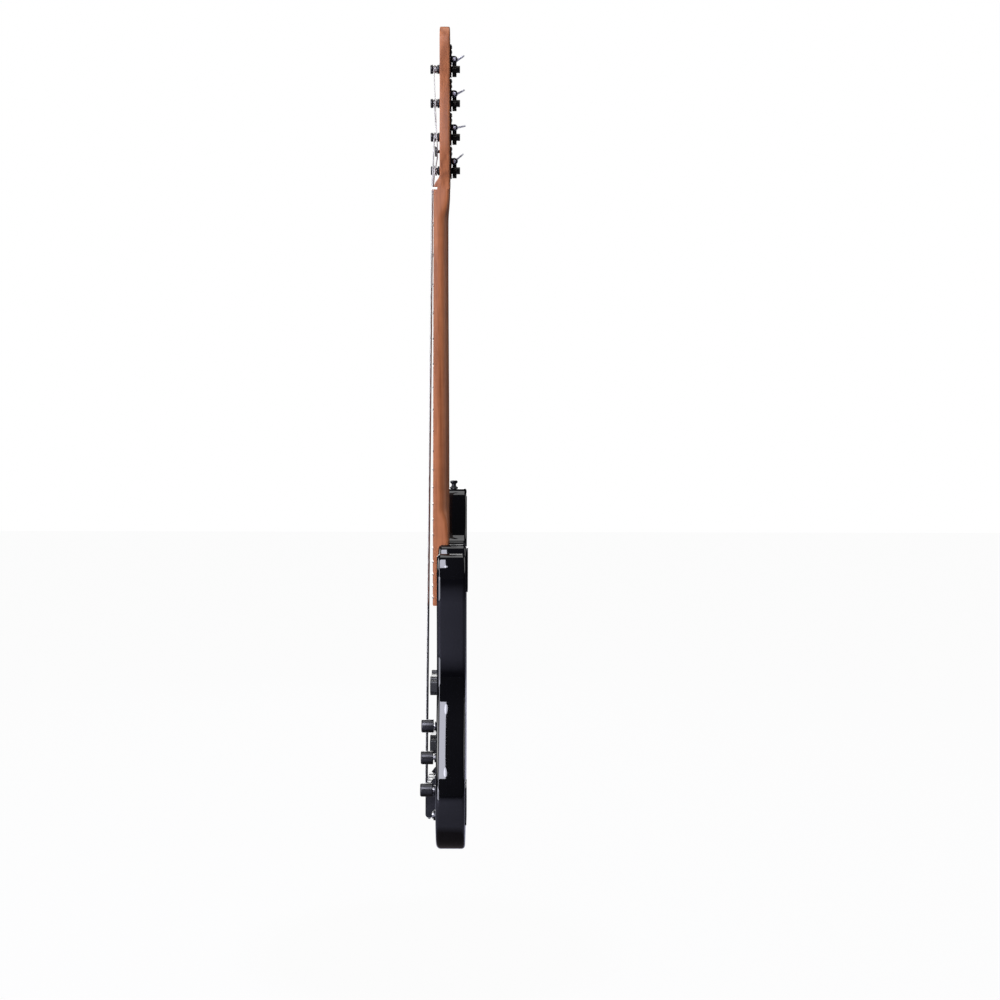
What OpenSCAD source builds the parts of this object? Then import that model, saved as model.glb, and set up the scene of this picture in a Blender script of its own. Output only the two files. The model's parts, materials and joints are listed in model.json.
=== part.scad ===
/* [Scale and neck] */
// Length of the strings from nut to saddles
scale_length = 864; // [860:1:868]
// Number of frets
fret_count = 20; // [20:1:21]
// Width of the neck at the nut
nut_width = 42; // [40:0.5:43]
// Width of the fingerboard at the body end
board_end_width = 62; // [61:0.5:63]
// Depth of the neck behind the fingerboard's top, at the nut
neck_depth_nut = 22; // [21:0.5:23]
// Depth of the neck at the heel, which is also the pocket's floor
heel_depth = 24; // [23.5:0.5:24.5]
// Thickness of the fingerboard
board_thickness = 6; // [5.5:0.5:6.5]
// Width across the strings at the nut
nut_string_spread = 32; // [30:0.5:33]

/* [Headstock] */
// Distance from the fingerboard's top plane back to the headstock's face
head_face = 9.5; // [9:0.5:10]
// Thickness of the headstock
head_thickness = 14.5; // [14:0.5:15]
// Height of the lowest string post above the nut
first_post_z = 35.3; // [34:0.1:36]
// Sideways place of the lowest string post
first_post_x = -22; // [-23:0.5:-21]
// Distance between neighbouring posts along their row
post_pitch = 48.4; // [48.2:0.1:49]
// Lean of the row of posts away from the neck's centre line
row_angle = 11.7; // [11:0.1:12.5]

/* [Body] */
// Distance from the fingerboard's top plane back to the body's front
body_front = 8.7; // [8.5:0.1:9]
// Thickness of the body
body_thickness = 40; // [39:0.5:42]
// Rounding of the body's edges
body_edge = 6; // [4:0.5:7]
// Length of the neck pocket
pocket_length = 90; // [88:1:92]
// Height of the strings above the fingerboard's plane at the saddles
string_rise = 9; // [8.5:0.5:9.5]

/* [Bridge and pickups] */
// Distance between neighbouring strings at the saddles
string_spacing = 19; // [18.5:0.5:19.5]
// Width of the bridge
bridge_width = 80; // [79:1:82]
// Distance from nut to the middle of the front pickup
front_pickup_z = 718; // [714:1:720]
// Distance from nut to the middle of the rear pickup
rear_pickup_z = 802; // [800:1:804]
// Height of the pickups above the body
pickup_height = 11; // [9:0.5:11.5]

/* [Controls] */
// Diameter of the knobs
knob_d = 18.6; // [17:0.1:19]
// Height of the knobs
knob_h = 17.4; // [16:0.1:18]
// Bore radius of the jack socket
jack_r = 3.25; // [3.2:0.01:3.3]

/* [Hidden] */
gap = 0.01;                                  // lets a cut break through a face cleanly
board_end = 603;                             // distance from nut to the fingerboard's end
body_back = body_front + body_thickness;
pocket_top = board_end - pocket_length;      // distance from nut to the body's top edge
saddle_y = -string_rise;
head_back = head_face + head_thickness;
gauges = [2.65, 2.05, 1.5, 1.15];            // string diameters, thickest first
nut_string_y = [-2.2, -2.35, -2.05, -1.45];   // centre lines of the strings over the nut, thickest first
black = [0.03, 0.03, 0.035];
steel = [0.62, 0.62, 0.64];
maple = [0.69, 0.44, 0.31];

// ---- Shared shapes and rules ----

// Cubic curve from a to d, drawn with handles b and c, without its last point
function curve(a, b, c, d, n = 8) = [
    for (i = [0 : n - 1]) let(t = i / n, s = 1 - t)
        s * s * s * a + 3 * s * s * t * b + 3 * s * t * t * c + t * t * t * d
];

// Closed smooth line through all the points, n steps between neighbours
function smooth_loop(p, n) = let(m = len(p)) [
    for (i = [0 : m - 1], k = [0 : n - 1])
        let(t = k / n, a = p[(i + m - 1) % m], b = p[i], c = p[(i + 1) % m], d = p[(i + 2) % m])
            0.5 * (2 * b + (c - a) * t + (2 * a - 5 * b + 4 * c - d) * t * t
                + (3 * b - a - 3 * c + d) * t * t * t)
];

// Neck half width at a distance below the nut
function half_width(below) =
    (nut_width + (board_end_width - nut_width) * below / board_end) / 2;

// Distance from the nut to a fret
function fret_place(n) = scale_length * (1 - pow(2, -n / 12));

// Place across the neck of a string at a height z, following its straight line
function string_x(i, z) =
    (i - 1.5) * (nut_string_spread / 3
        - (string_spacing - nut_string_spread / 3) * z / scale_length);

// Smooth step from 0 to 1 as x goes from a to b
function ease(x, a, b) = let(t = max(0, min(1, (x - a) / (b - a)))) t * t * (3 - 2 * t);

// Closed solid through rings of points; a ring runs clockwise seen from outside the first one
module loft(rings) {
    n = len(rings[0]);
    m = len(rings);
    sides = [
        for (j = [0 : m - 2], i = [0 : n - 1])
            let(k = (i + 1) % n, a = j * n + i, b = j * n + k, c = b + n, d = a + n)
                each [[a, c, b], [a, d, c]]
    ];
    first_cap = [for (i = [0 : n - 1]) i];
    last_cap = [for (i = [0 : n - 1]) m * n - 1 - i];
    polyhedron([for (r = rings) each r], concat([first_cap], sides, [last_cap]));
}

// Draws a shape given in X and Z, from y = front to y = back
module slab(front, back) {
    translate([0, back, 0]) rotate([90, 0, 0]) linear_extrude(back - front) children();
}

// Round bar along Y from front to back
module bar(r, front, back, sides = 48) {
    translate([0, back, 0]) rotate([90, 0, 0]) cylinder(r = r, h = back - front, $fn = sides);
}

// Flat rectangle with round corners, centred
module round_rect(w, h, r) {
    square([w - 2 * r, h], center = true);
    square([w, h - 2 * r], center = true);
    for (x = [-1, 1], z = [-1, 1]) translate([x * (w / 2 - r), z * (h / 2 - r)]) circle(r, $fn = 32);
}

// Countersunk cross-head screw whose head ends at y = top; dir is 1 for a head at the front,
// -1 for one at the back
module screw(head_r, shank_r, length, top, dir) {
    head_h = head_r - shank_r;
    translate([0, top, 0]) rotate([-90 * dir, 0, 0]) difference() {
        union() {
            cylinder(r1 = head_r, r2 = shank_r, h = head_h, $fn = 40);
            translate([0, 0, head_h - gap])
                cylinder(r = shank_r, h = length - head_h - shank_r, $fn = 32);
            translate([0, 0, length - shank_r - 2 * gap])
                cylinder(r1 = shank_r, r2 = 0.2, h = shank_r, $fn = 32);
        }
        for (a = [0, 90]) rotate([0, 0, a])
            cube([head_r * 1.1, head_r * 0.22, head_h * 1.1], center = true);
    }
}

// Hole for the same screw
module screw_hole(head_r, shank_r, length, top, dir, room = 0.05) {
    head_h = head_r - shank_r;
    translate([0, top, 0]) rotate([-90 * dir, 0, 0]) {
        translate([0, 0, -5]) cylinder(r = head_r + room, h = 5, $fn = 40);
        cylinder(r1 = head_r + room, r2 = shank_r + room, h = head_h, $fn = 40);
        cylinder(r = shank_r + room, h = length + 0.5, $fn = 32);
    }
}

// ---- Body ----

pot_row = [for (i = [0 : 2]) [60 + 20 * i, -771 - 41 * i]];   // the three knobs, X and Z
jack_xz = [117, -884];
cavity_wall = 6;                             // wood left in front of the control cavity
cavity_front = body_front + cavity_wall;
cover_thickness = 2;                         // of the control cavity's cover, set flush into the back
battery_xz = [18, -889];
battery_lid = [64, 54];                      // battery box lid, across and along
battery_floor = body_back - 18;
battery_lid_thickness = 1.4;
battery_screw_places = [for (x = [-28.5, 28.5]) battery_xz + [x, 0]];
cover_screw_places = [
    for (a = [20, 120, 200]) [64, -776] + 26 * [cos(a), sin(a)],
    for (a = [-157, -90, -10]) [105, -872] + 28 * [cos(a), sin(a)]
];
plate_w = 51;                                // neck plate, across
plate_h = 64;                                // neck plate, along the neck
plate_thickness = 2.5;
plate_z = -pocket_top - 7 - plate_h / 2;
neck_screw_places = [for (x = [-19, 19], z = [-25.5, 25.5]) [x, plate_z + z]];
strap_ends = [[-107, -436, 4], [0, -942.4, 180]];    // X, Z and lean of the two strap buttons
strap_y = body_front + body_thickness / 2;

// Outline of the body, clockwise seen from the front, from the treble side of the neck
body_points = [
    [22, -513.5], [35, -518], [41.5, -532], [43, -553], [49, -574], [60, -582], [70, -573],
    [78, -552], [86, -532.5], [98, -523.5], [110, -527], [118, -547], [117, -585], [108, -630],
    [102, -675], [105, -716], [121, -760], [146, -805], [160, -846], [156, -887], [135, -919],
    [98, -936], [50, -941.7], [0, -942.4], [-70, -933], [-125, -907], [-162, -864], [-176, -811],
    [-169, -756], [-147, -706], [-126, -655], [-120, -605], [-127, -552], [-134, -500],
    [-133, -463], [-123, -443], [-107, -436], [-92, -440], [-82, -454], [-75, -476], [-67, -498],
    [-56, -512.5], [-43, -517.5], [-28, -515.5], [0, -513.5]
];

// Body with its rounded edges, before anything is cut from it: a flat slab inside a closed rim
module body_blank() {
    loop = smooth_loop(body_points, 4);
    back_edge = body_edge * 0.8;
    rim_w = body_edge + 1.6;
    rim_lap = 0.6;
    m = len(loop);
    across = [for (i = [0 : m - 1])
        let(d = loop[(i + 1) % m] - loop[(i + m - 1) % m]) [d[1], -d[0]] / norm(d)];
    // section of the rim, as distance in from the outline and distance back from the front
    section = concat(
        [[rim_w, 0]],
        [for (a = [0 : 22.5 : 90]) body_edge * [1 - sin(a), 1 - cos(a)]],
        [for (a = [90 : -22.5 : 0])
            [back_edge * (1 - sin(a)), body_thickness - back_edge * (1 - cos(a))]],
        [[rim_w, body_thickness]]
    );
    k = len(section);
    points = [for (i = [0 : m - 1], q = section)
        let(p = loop[i] + q[0] * across[i]) [p[0], body_front + q[1], p[1]]];
    faces = [for (i = [0 : m - 1], j = [0 : k - 1])
        let(
            next = (i + 1) % m,
            a = i * k + j,
            b = i * k + (j + 1) % k,
            c = next * k + (j + 1) % k,
            d = next * k + j
        )
        each [[a, b, d], [b, c, d]]];
    polyhedron(points, faces);
    slab(body_front, body_back)
        polygon([for (i = [0 : m - 1]) loop[i] + (rim_w - rim_lap) * across[i]]);
}

// Outline of the control cavity's cover, or with a margin that of the cavity
module cavity_outline(margin = 0) {
    hull() {
        translate([64, -776]) circle(30 - margin, $fn = 48);
        translate([105, -872]) circle(32 - margin, $fn = 48);
    }
}

// Outline of a pickup's cover, with the four screw ears
module pickup_outline(w, extra = 0) {
    round_rect(w + 2 * extra, 18.4 + 2 * extra, 4);
    for (x = [-1, 1]) translate([x * (w / 2 - 13), 0]) round_rect(9 + 2 * extra, 27 + 2 * extra, 4.4);
}

pickup_widths = [92, 95];
pickup_z = [-front_pickup_z, -rear_pickup_z];
pickup_floor = body_front + 19;

module body() {
    room = 0.15;                             // around the neck's heel
    pocket_mouth = pocket_top - 13;          // clear of the body's top edge
    color(black) difference() {
        body_blank();
        // neck pocket, as wide as the neck plus a sliver
        slab(body_front - 20, heel_depth) polygon([
            [-half_width(board_end) - room, -board_end - room],
            [half_width(board_end) + room, -board_end - room],
            [half_width(pocket_mouth) + room, -pocket_mouth],
            [-half_width(pocket_mouth) - room, -pocket_mouth]
        ]);
        for (i = [0, 1]) translate([0, 0, pickup_z[i]])
            slab(body_front - 5, pickup_floor) pickup_outline(pickup_widths[i], 0.6);
        slab(cavity_front, body_back + 1) cavity_outline(8);
        slab(body_back - cover_thickness - 0.05, body_back + 1) cavity_outline(-0.2);
        slab(battery_floor, body_back + 1) translate(battery_xz - [0, 4]) round_rect(50, 29, 3);
        for (p = battery_screw_places) translate([p[0], 0, p[1]])
            screw_hole(2.6, 1.2, 12, body_back + battery_lid_thickness, -1);
        for (p = pot_row) translate([p[0], 0, p[1]]) bar(4.8, body_front - 1, cavity_front + 1);
        translate([jack_xz[0], 0, jack_xz[1]]) bar(4.85, body_front - 1, cavity_front + 1);
        for (p = neck_screw_places) translate([p[0], 0, p[1]]) bar(2.6, heel_depth - 1, body_back + 1);
        for (p = cover_screw_places) translate([p[0], 0, p[1]])
            screw_hole(2.6, 1.2, 14, body_back, -1);
        for (x = bridge_screw_x) translate([x, 0, bridge_screw_z])
            screw_hole(3.4, 1.6, 22, bridge_floor, 1);
        for (i = [0, 1], x = [-1, 1], z = [-1, 1])
            translate([x * (pickup_widths[i] / 2 - 13), 0, pickup_z[i] + z * 10.4])
                bar(1.25, pickup_floor - 1, pickup_floor + 8);
        // holes for the strap buttons' screws, and flat seats for their washers
        at_strap() {
            translate([0, 0, -22]) cylinder(r = 1.85, h = 40, $fn = 32);
            cylinder(r = 7, h = 6, $fn = 48);
        }
    }
}

module control_cover() {
    color(black) difference() {
        slab(body_back - cover_thickness, body_back) cavity_outline();
        for (p = cover_screw_places) translate([p[0], 0, p[1]]) screw_hole(2.6, 1.2, 14, body_back, -1);
    }
}

// Screws of both covers
module cover_screws() {
    color(black) {
        for (p = cover_screw_places) translate([p[0], 0, p[1]]) screw(2.6, 1.2, 14, body_back, -1);
        for (p = battery_screw_places) translate([p[0], 0, p[1]])
            screw(2.6, 1.2, 12, body_back + battery_lid_thickness, -1);
    }
}

module battery_cover() {
    color(black) difference() {
        slab(body_back, body_back + battery_lid_thickness)
            translate(battery_xz) round_rect(battery_lid[0], battery_lid[1], 5);
        for (p = battery_screw_places) translate([p[0], 0, p[1]])
            screw_hole(2.6, 1.2, 12, body_back + battery_lid_thickness, -1);
    }
}

// Nine-volt block with its two contacts
module battery() {
    color([0.2, 0.2, 0.22]) translate([battery_xz[0] - 2, 0, battery_xz[1] - 4]) {
        slab(battery_floor + 0.1, body_back - 0.6) round_rect(42, 26, 2);
        for (z = [-6.3, 6.3]) translate([20, battery_floor + 8.6, z]) rotate([0, 90, 0])
            cylinder(r = 2.9, h = 4, $fn = 32);
    }
}

// ---- Neck ----

slope_top = 25;                              // where the curve behind the nut meets the head's face
nut_length = 3.4;
channel_w = 6.4;                             // truss rod channel
channel_depth = 10.5;
channel_top = -14;

// Ring of the neck's shaft at height z: flat front, rounded back
function neck_ring(z) =
    let(
        squareness = 2.2 + 9 * ease(-z, 462, 510) + 7 * ease(z, -44, 0),
        hw = half_width(max(0, -z)),
        front = board_thickness + (head_face + 1 - board_thickness) * ease(z, 4, 20),
        swell = max(ease(-z, 60, 440), ease(z, -44, -2)),
        back = neck_depth_nut + (heel_depth - neck_depth_nut) * swell
    )
    [for (t = [0 : 7.5 : 180])
        [
            sign(cos(t)) * pow(abs(cos(t)), 2 / squareness) * hw,
            front + pow(max(0, sin(t)), 2 / squareness) * (back - front),
            z
        ]];

head_points = concat(
    curve([-21, 0], [-22, 11], [-39, 3], [-43, 20]),
    [[-43, 20]],
    curve([-5, 212], [-1, 230], [10, 234], [23, 234]),
    curve([23, 234], [42, 234], [52, 221], [49, 203]),
    curve([49, 203], [46, 178], [37, 160], [36, 122]),
    curve([36, 122], [35, 84], [41, 62], [33, 37]),
    curve([33, 37], [28, 22], [21.5, 18], [21, 0]),
    [[21, 0]]
);

// Place of post i, as X and Z
function post_xz(i) =
    [first_post_x, first_post_z] + i * post_pitch * [sin(row_angle), cos(row_angle)];

// Puts what follows at tuner i: local origin on the post's axis, local Z along the row
module at_tuner(i) {
    translate([post_xz(i)[0], 0, post_xz(i)[1]]) rotate([0, row_angle, 0]) children();
}

module neck() {
    color(maple) difference() {
        union() {
            loft([for (z = [-board_end, -560, -520, -510, -500, -492, -484, -476, -468, -460, -400,
                -300, -200, -100, -46, -38, -30, -22, -14, -6, 0, 8, 16, 24]) neck_ring(z)]);
            slab(head_face, head_back) polygon(head_points);
            // wood behind the nut, curving back to the head's face
            translate([-nut_width / 2, 0, 0]) rotate([90, 0, 90]) linear_extrude(nut_width)
                polygon(concat(
                    [[12, slope_top], [12, nut_length], [1.2, nut_length]],
                    curve([1.2, nut_length + 2], [3.2, 14], [head_face, 14], [head_face, slope_top])
                ));
        }
        for (i = [0 : 3]) at_tuner(i) {
            bar(7, head_face - 10, head_back + 1);
            for (p = plate_screw_places) translate([p[0], 0, p[1]])
                bar(1.2, head_back - 9, head_back + 1);
        }
        translate([-channel_w / 2, board_thickness - 5, -board_end - 1])
            cube([channel_w, channel_depth + 5, board_end + channel_top + 1]);
        for (p = neck_screw_places) translate([p[0], 0, p[1]]) bar(2.35, 10.8, heel_depth + 1);
        translate([tree_xz[0], 0, tree_xz[1]]) bar(1.45, head_face - 1, head_face + 11);
    }
}

// Solid under the board's curved top, between two distances from the nut
module board_blank(from, to) {
    intersection() {
        slab(-5, board_thickness) polygon([
            [-half_width(from), -from], [half_width(from), -from],
            [half_width(to), -to], [-half_width(to), -to]
        ]);
        translate([0, board_radius, -to - 1])
            cylinder(r = board_radius, h = to - from + 2, $fn = 360);
    }
}
board_radius = 254;

module fingerboard() {
    color(maple) difference() {
        board_blank(0, board_end);
        for (n = [1 : fret_count]) fret_tang(n, 0.02);
        dot_places() bar(3.05, -2, 1.2, 32);
        side_dot_places() rotate([0, 90, 0]) cylinder(r = 1.05, h = 3, center = true, $fn = 24);
    }
}

// Tang of fret n, or its slot with room around it
module fret_tang(n, room = 0) {
    z = -fret_place(n);
    w = half_width(-z) - 0.4;
    translate([-w - room, -1, z - 0.28 - room]) cube([2 * (w + room), 3.4 + room, 0.56 + 2 * room]);
}

module frets() {
    color(steel) for (n = [1 : fret_count]) {
        z = fret_place(n);
        intersection() {
            difference() {
                translate([0, board_radius - 1.1, -z - 1.3]) cylinder(r = board_radius, h = 2.6, $fn = 360);
                translate([0, board_radius, -z - 2]) cylinder(r = board_radius, h = 4, $fn = 360);
            }
            slab(-3, 3) polygon([
                [-half_width(z) + 0.3, -z - 1.3], [half_width(z) - 0.3, -z - 1.3],
                [half_width(z) - 0.3, -z + 1.3], [-half_width(z) + 0.3, -z + 1.3]
            ]);
        }
        intersection() {
            fret_tang(n);
            translate([0, board_radius - 0.3, -z - 2]) cylinder(r = board_radius, h = 4, $fn = 360);
        }
    }
}

dot_frets = [3, 5, 7, 9, 15, 17, 19];

// Puts what follows at each position dot on the board's front; $dot_x is its place across
module dot_places() {
    for (n = dot_frets) {
        $dot_x = 0;
        translate([0, 0, -(fret_place(n) + fret_place(n - 1)) / 2]) children();
    }
    for ($dot_x = [-11, 11]) translate([$dot_x, 0, -(fret_place(12) + fret_place(11)) / 2]) children();
}

// Puts what follows at each dot on the board's bass edge
module side_dot_places() {
    for (n = concat(dot_frets, [12])) {
        z = (fret_place(n) + fret_place(n - 1)) / 2;
        for (d = (n == 12) ? [-4, 4] : [0])
            translate([-half_width(z), board_thickness * 0.55, -z + d]) children();
    }
}

module position_dots() {
    color([0.93, 0.9, 0.84]) {
        dot_places() bar(3, ($dot_x == 0) ? 0.02 : 0.25, 1.15, 32);
        side_dot_places() translate([0.73, 0, 0]) rotate([0, 90, 0])
            cylinder(r = 1, h = 1.4, center = true, $fn = 24);
    }
}

nut_front = -2.6;                            // front of the nut, just over the strings' middles

// Radius of the nut's slot for string i
function slot_r(i) = gauges[i] / 2 + 0.06;

module nut() {
    color([0.92, 0.9, 0.84]) difference() {
        translate([-nut_width / 2 + 0.2, nut_front, 0.01])
            cube([nut_width - 0.4, board_thickness - nut_front, nut_length - 0.02]);
        for (i = [0 : 3]) translate([string_x(i, 0), nut_string_y[i], -1]) {
            cylinder(r = slot_r(i), h = nut_length + 3, $fn = 24);
            translate([-slot_r(i), -4, 0]) cube([2 * slot_r(i), 4, nut_length + 3]);
        }
    }
}

module truss_rod() {
    rod_y = board_thickness + 6.8;
    rod_length = board_end + channel_top - 14;
    color(steel) {
        translate([0, rod_y, -rod_length + channel_top - 6])
            cylinder(r = 2.6, h = rod_length, $fn = 32);
        for (z = [channel_top - 12, -board_end + 10])
            translate([-3, board_thickness + 0.6, z]) cube([6, 9.4, 10]);
        translate([-2.5, board_thickness + 0.8, -board_end + 12]) cube([5, 2.6, rod_length - 4]);
        difference() {
            translate([0, rod_y, -board_end + 1]) cylinder(r = 3.1, h = 8.9, $fn = 32);
            translate([0, rod_y, -board_end]) cylinder(r = 2, h = 6, $fn = 6);
        }
    }
}

module neck_plate() {
    color(black) difference() {
        slab(body_back, body_back + plate_thickness)
            translate([0, plate_z]) round_rect(plate_w, plate_h, 6);
        for (p = neck_screw_places) translate([p[0], 0, p[1]])
            screw_hole(4.3, 2.3, 40, body_back + plate_thickness, -1);
    }
}

module neck_screws() {
    color(black) for (p = neck_screw_places) translate([p[0], 0, p[1]])
        screw(4.3, 2.3, 40, body_back + plate_thickness, -1);
}

// ---- Headstock hardware ----

tree_xz = [10.1, 57];
tree_top = 2.3;                              // front of the string tree's disc
post_top = head_face - 14.2;
cap_r = 6.6;                                 // radius of the post's cap and collar
cap_back = -0.9;                             // back of the cap
collar_front = 5.2;                          // front of the collar
groove_r = 4.5;                              // radius of the post where the string winds
groove_y = (cap_back + collar_front) / 2 + 0.15;     // middle of the winding
turns = [1, 1.5, 2.5, 3];
shaft_r = 4.7;
plate_back = head_back + 2;
gear_y = 30.3;                               // middle of the gear and axis of the worm
gear_r = 10;                                 // pitch radius of the 20-tooth gear
gear_teeth = 20;
hub_back = 38.4;                             // back of the screw that holds the gear
worm_r = 4;
worm_z = gear_r + worm_r;
worm_shaft_r = 2.5;
tooth_reach = 0.9;                           // how far a tooth stands past its pitch line
thread_pitch = 2 * PI * gear_r / gear_teeth;
ear_in = 7.4;                                // inner faces of the worm's two bearings
ear_out = 10.4;
ear_r = 4.6;
key_angles = [40, 12, 27, 31];               // how each key stands at rest
plate_screw_places = [for (x = [-8, 8], z = [24.5, 31.5]) [x, z]];

module string_tree() {
    color(black) translate([tree_xz[0], 0, tree_xz[1]]) difference() {
        union() {
            bar(7.5, tree_top, tree_top + 2.5);
            bar(2.3, tree_top + 2, head_face, 32);
        }
        screw_hole(2.9, 1.4, 16, tree_top, 1, 0.02);
    }
}

module tree_screw() {
    color(black) translate([tree_xz[0], 0, tree_xz[1]]) screw(2.9, 1.4, 16, tree_top, 1);
}

module tuner_ferrules() {
    color(black) for (i = [0 : 3]) at_tuner(i) difference() {
        union() {
            bar(8.8, head_face - 1.2, head_face);
            bar(6.95, head_face - 0.2, head_back);
        }
        bar(shaft_r + 0.05, head_face - 2, head_back + 1);
    }
}

module tuner_plates() {
    color(black) for (i = [0 : 3]) at_tuner(i) difference() {
        union() {
            slab(head_back, plate_back) translate([-0.5, 11.5]) round_rect(25, 47, 5);
            for (x = [-ear_out, ear_in]) {
                translate([x, plate_back - gap, worm_z - ear_r])
                    cube([ear_out - ear_in, gear_y - plate_back + gap, 2 * ear_r]);
                translate([x, gear_y, worm_z]) rotate([0, 90, 0])
                    cylinder(r = ear_r, h = ear_out - ear_in, $fn = 40);
            }
        }
        bar(shaft_r + 0.2, head_back - 1, plate_back + 1);
        translate([-15, gear_y, worm_z]) rotate([0, 90, 0])
            cylinder(r = worm_shaft_r + 0.05, h = 30, $fn = 40);
        // trough that clears the worm's thread
        translate([-ear_in + gap, gear_y, worm_z]) rotate([0, 90, 0])
            cylinder(r = worm_r + tooth_reach + 0.3, h = 2 * (ear_in - gap), $fn = 48);
        for (p = plate_screw_places) translate([p[0], 0, p[1]]) screw_hole(2.6, 1.15, 10, plate_back, -1);
    }
}

module plate_screws() {
    color(black) for (i = [0 : 3], p = plate_screw_places) at_tuner(i) translate([p[0], 0, p[1]]) {
        screw(2.6, 1.15, 10, plate_back, -1);
        // raised top of the oval head
        intersection() {
            translate([0, plate_back - 2.4, 0]) sphere(r = 3.54, $fn = 40);
            difference() {
                bar(2.6, plate_back - gap, plate_back + 2, 40);
                for (a = [0, 90]) rotate([0, a, 0]) translate([0, plate_back + 1, 0])
                    cube([6, 2.2, 0.57], center = true);
            }
        }
    }
}

// Round bar swept along a list of points; ring planes halve the angle at each point
module swept(points, r, sides) {
    last = len(points) - 1;
    rings = [
        for (i = [0 : last])
            let(
                a = points[max(0, i - 1)],
                b = points[min(last, i + 1)],
                along = (b - a) / norm(b - a),
                up = abs(along[1]) > 0.9 ? [1, 0, 0] : [0, 1, 0],
                u = cross(along, up) / norm(cross(along, up)),
                v = cross(u, along)
            )
            [for (k = [0 : sides - 1])
                let(t = -360 * k / sides) points[i] + r * (cos(t) * u + sin(t) * v)]
    ];
    loft(rings);
}

// Centre line of string i: bridge, saddle, nut, string tree, and the turns round its post
function string_route(i) =
    let(
        r = gauges[i] / 2,
        saddle_x = string_x(i, -scale_length),
        nut_x = string_x(i, 0),
        wind_r = groove_r + 0.25 + r,
        c = post_xz(i),
        d = c - [nut_x, 0],
        away = sqrt(d * d - wind_r * wind_r),
        heading = atan2(d[1], d[0]) - asin(wind_r / norm(d)),
        touch = [nut_x, 0] + away * [cos(heading), sin(heading)],
        start = atan2(touch[1] - c[1], touch[0] - c[0]),
        wind_pitch = gauges[i] * 1.06,
        wind_top = groove_y - turns[i] * wind_pitch / 2,
        steps = 16
    )
    concat(
        [
            [saddle_x, string_hole_y, -bridge_back - 1.5],
            [saddle_x, string_hole_y, -bridge_back + bridge_wall],
            [saddle_x, saddle_y + 0.5, -scale_length - 4],
            [saddle_x, saddle_y, -scale_length],
            [saddle_x + (nut_x - saddle_x) * 0.005, saddle_y + 0.05, -scale_length * 0.995],
            [nut_x, nut_string_y[i], -1],
            [nut_x, nut_string_y[i], nut_length]
        ],
        (i < 2) ? [] : [for (z = [-7.6, 7.6])
            [nut_x + (tree_xz[1] + z) / tan(heading), tree_top + 2.6 + r, tree_xz[1] + z]],
        [for (k = [0 : turns[i] * steps])
            let(t = start + 360 * k / steps)
                [c[0] + wind_r * cos(t), wind_top + wind_pitch * k / steps, c[1] + wind_r * sin(t)]]
    );

module one_string(i) {
    color(steel) {
        swept(string_route(i), gauges[i] / 2, 8);
        // ball end behind the bridge's wall
        translate([string_x(i, -scale_length) - 2, string_hole_y, -bridge_back - ball_r - 0.05])
            rotate([0, 90, 0]) cylinder(r = ball_r, h = 4, $fn = 32);
    }
}

module string_e() { one_string(0); }
module string_a() { one_string(1); }
module string_d() { one_string(2); }
module string_g() { one_string(3); }

module tuner_post(i) {
    color(black) at_tuner(i) difference() {
        union() {
            bar(cap_r, post_top, cap_back);
            bar(groove_r, cap_back - 1, collar_front + 1);
            bar(cap_r, collar_front, head_face - 1.5);
            bar(shaft_r, head_face - 2, gear_y - 3);
            bar(3.5, gear_y - 3.5, gear_y + 3);
        }
        translate([-1.4, post_top - 1, -10]) cube([2.8, 3.2, 20]);
        bar(1.4, post_top - 1, post_top + 9, 32);
    }
}

module tuner_post_e() { tuner_post(0); }
module tuner_post_a() { tuner_post(1); }
module tuner_post_d() { tuner_post(2); }
module tuner_post_g() { tuner_post(3); }

// Gear with one tooth pointing at the worm, and the screw that holds it on the post
module tuner_gear(i) {
    tip = gear_r + tooth_reach;
    root = gear_r - tooth_reach - 0.2;
    teeth = [for (k = [0 : gear_teeth - 1], p = [[root, -4], [tip, -1.6], [tip, 1.6], [root, 4]])
        let(t = 90 + 360 * k / gear_teeth + p[1]) p[0] * [cos(t), sin(t)]];
    color([0.25, 0.24, 0.22]) at_tuner(i) {
        difference() {
            slab(gear_y - 3, gear_y + 3) polygon(teeth);
            bar(3.52, gear_y - 4, gear_y + 4);
        }
        difference() {
            bar(5.2, gear_y + 3, hub_back);
            translate([0, hub_back, 0]) cube([1.1, 2.4, 12], center = true);
        }
    }
}

module tuner_gear_e() { tuner_gear(0); }
module tuner_gear_a() { tuner_gear(1); }
module tuner_gear_d() { tuner_gear(2); }
module tuner_gear_g() { tuner_gear(3); }

// Thread of the worm along local X, with a gap facing the gear at x = 0
module worm_thread() {
    steps = 18;
    half_length = 2;                         // in turns
    crest = worm_r + tooth_reach;
    thread_section = [[0.68, 2.6], [0.3, crest], [-0.3, crest], [-0.68, 2.6]];
    loft([for (k = [-half_length * steps : half_length * steps])
        let(turn = k / steps, x = thread_pitch * turn, t = 360 * turn)
            [for (p = thread_section) [x + p[0], -p[1] * sin(t), p[1] * cos(t)]]]);
}

// Flat key: three round lobes on a neck, seen along local Y
module key_outline() {
    for (w = [-8.2, 8.2]) translate([-45, w]) circle(r = 8.3, $fn = 48);
    translate([-54, 0]) circle(r = 8.4, $fn = 48);
    polygon([
        [-30, -3.2], [-38, -6], [-52, -12], [-58, -6], [-58, 6], [-52, 12], [-38, 6], [-30, 3.2]
    ]);
}

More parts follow.
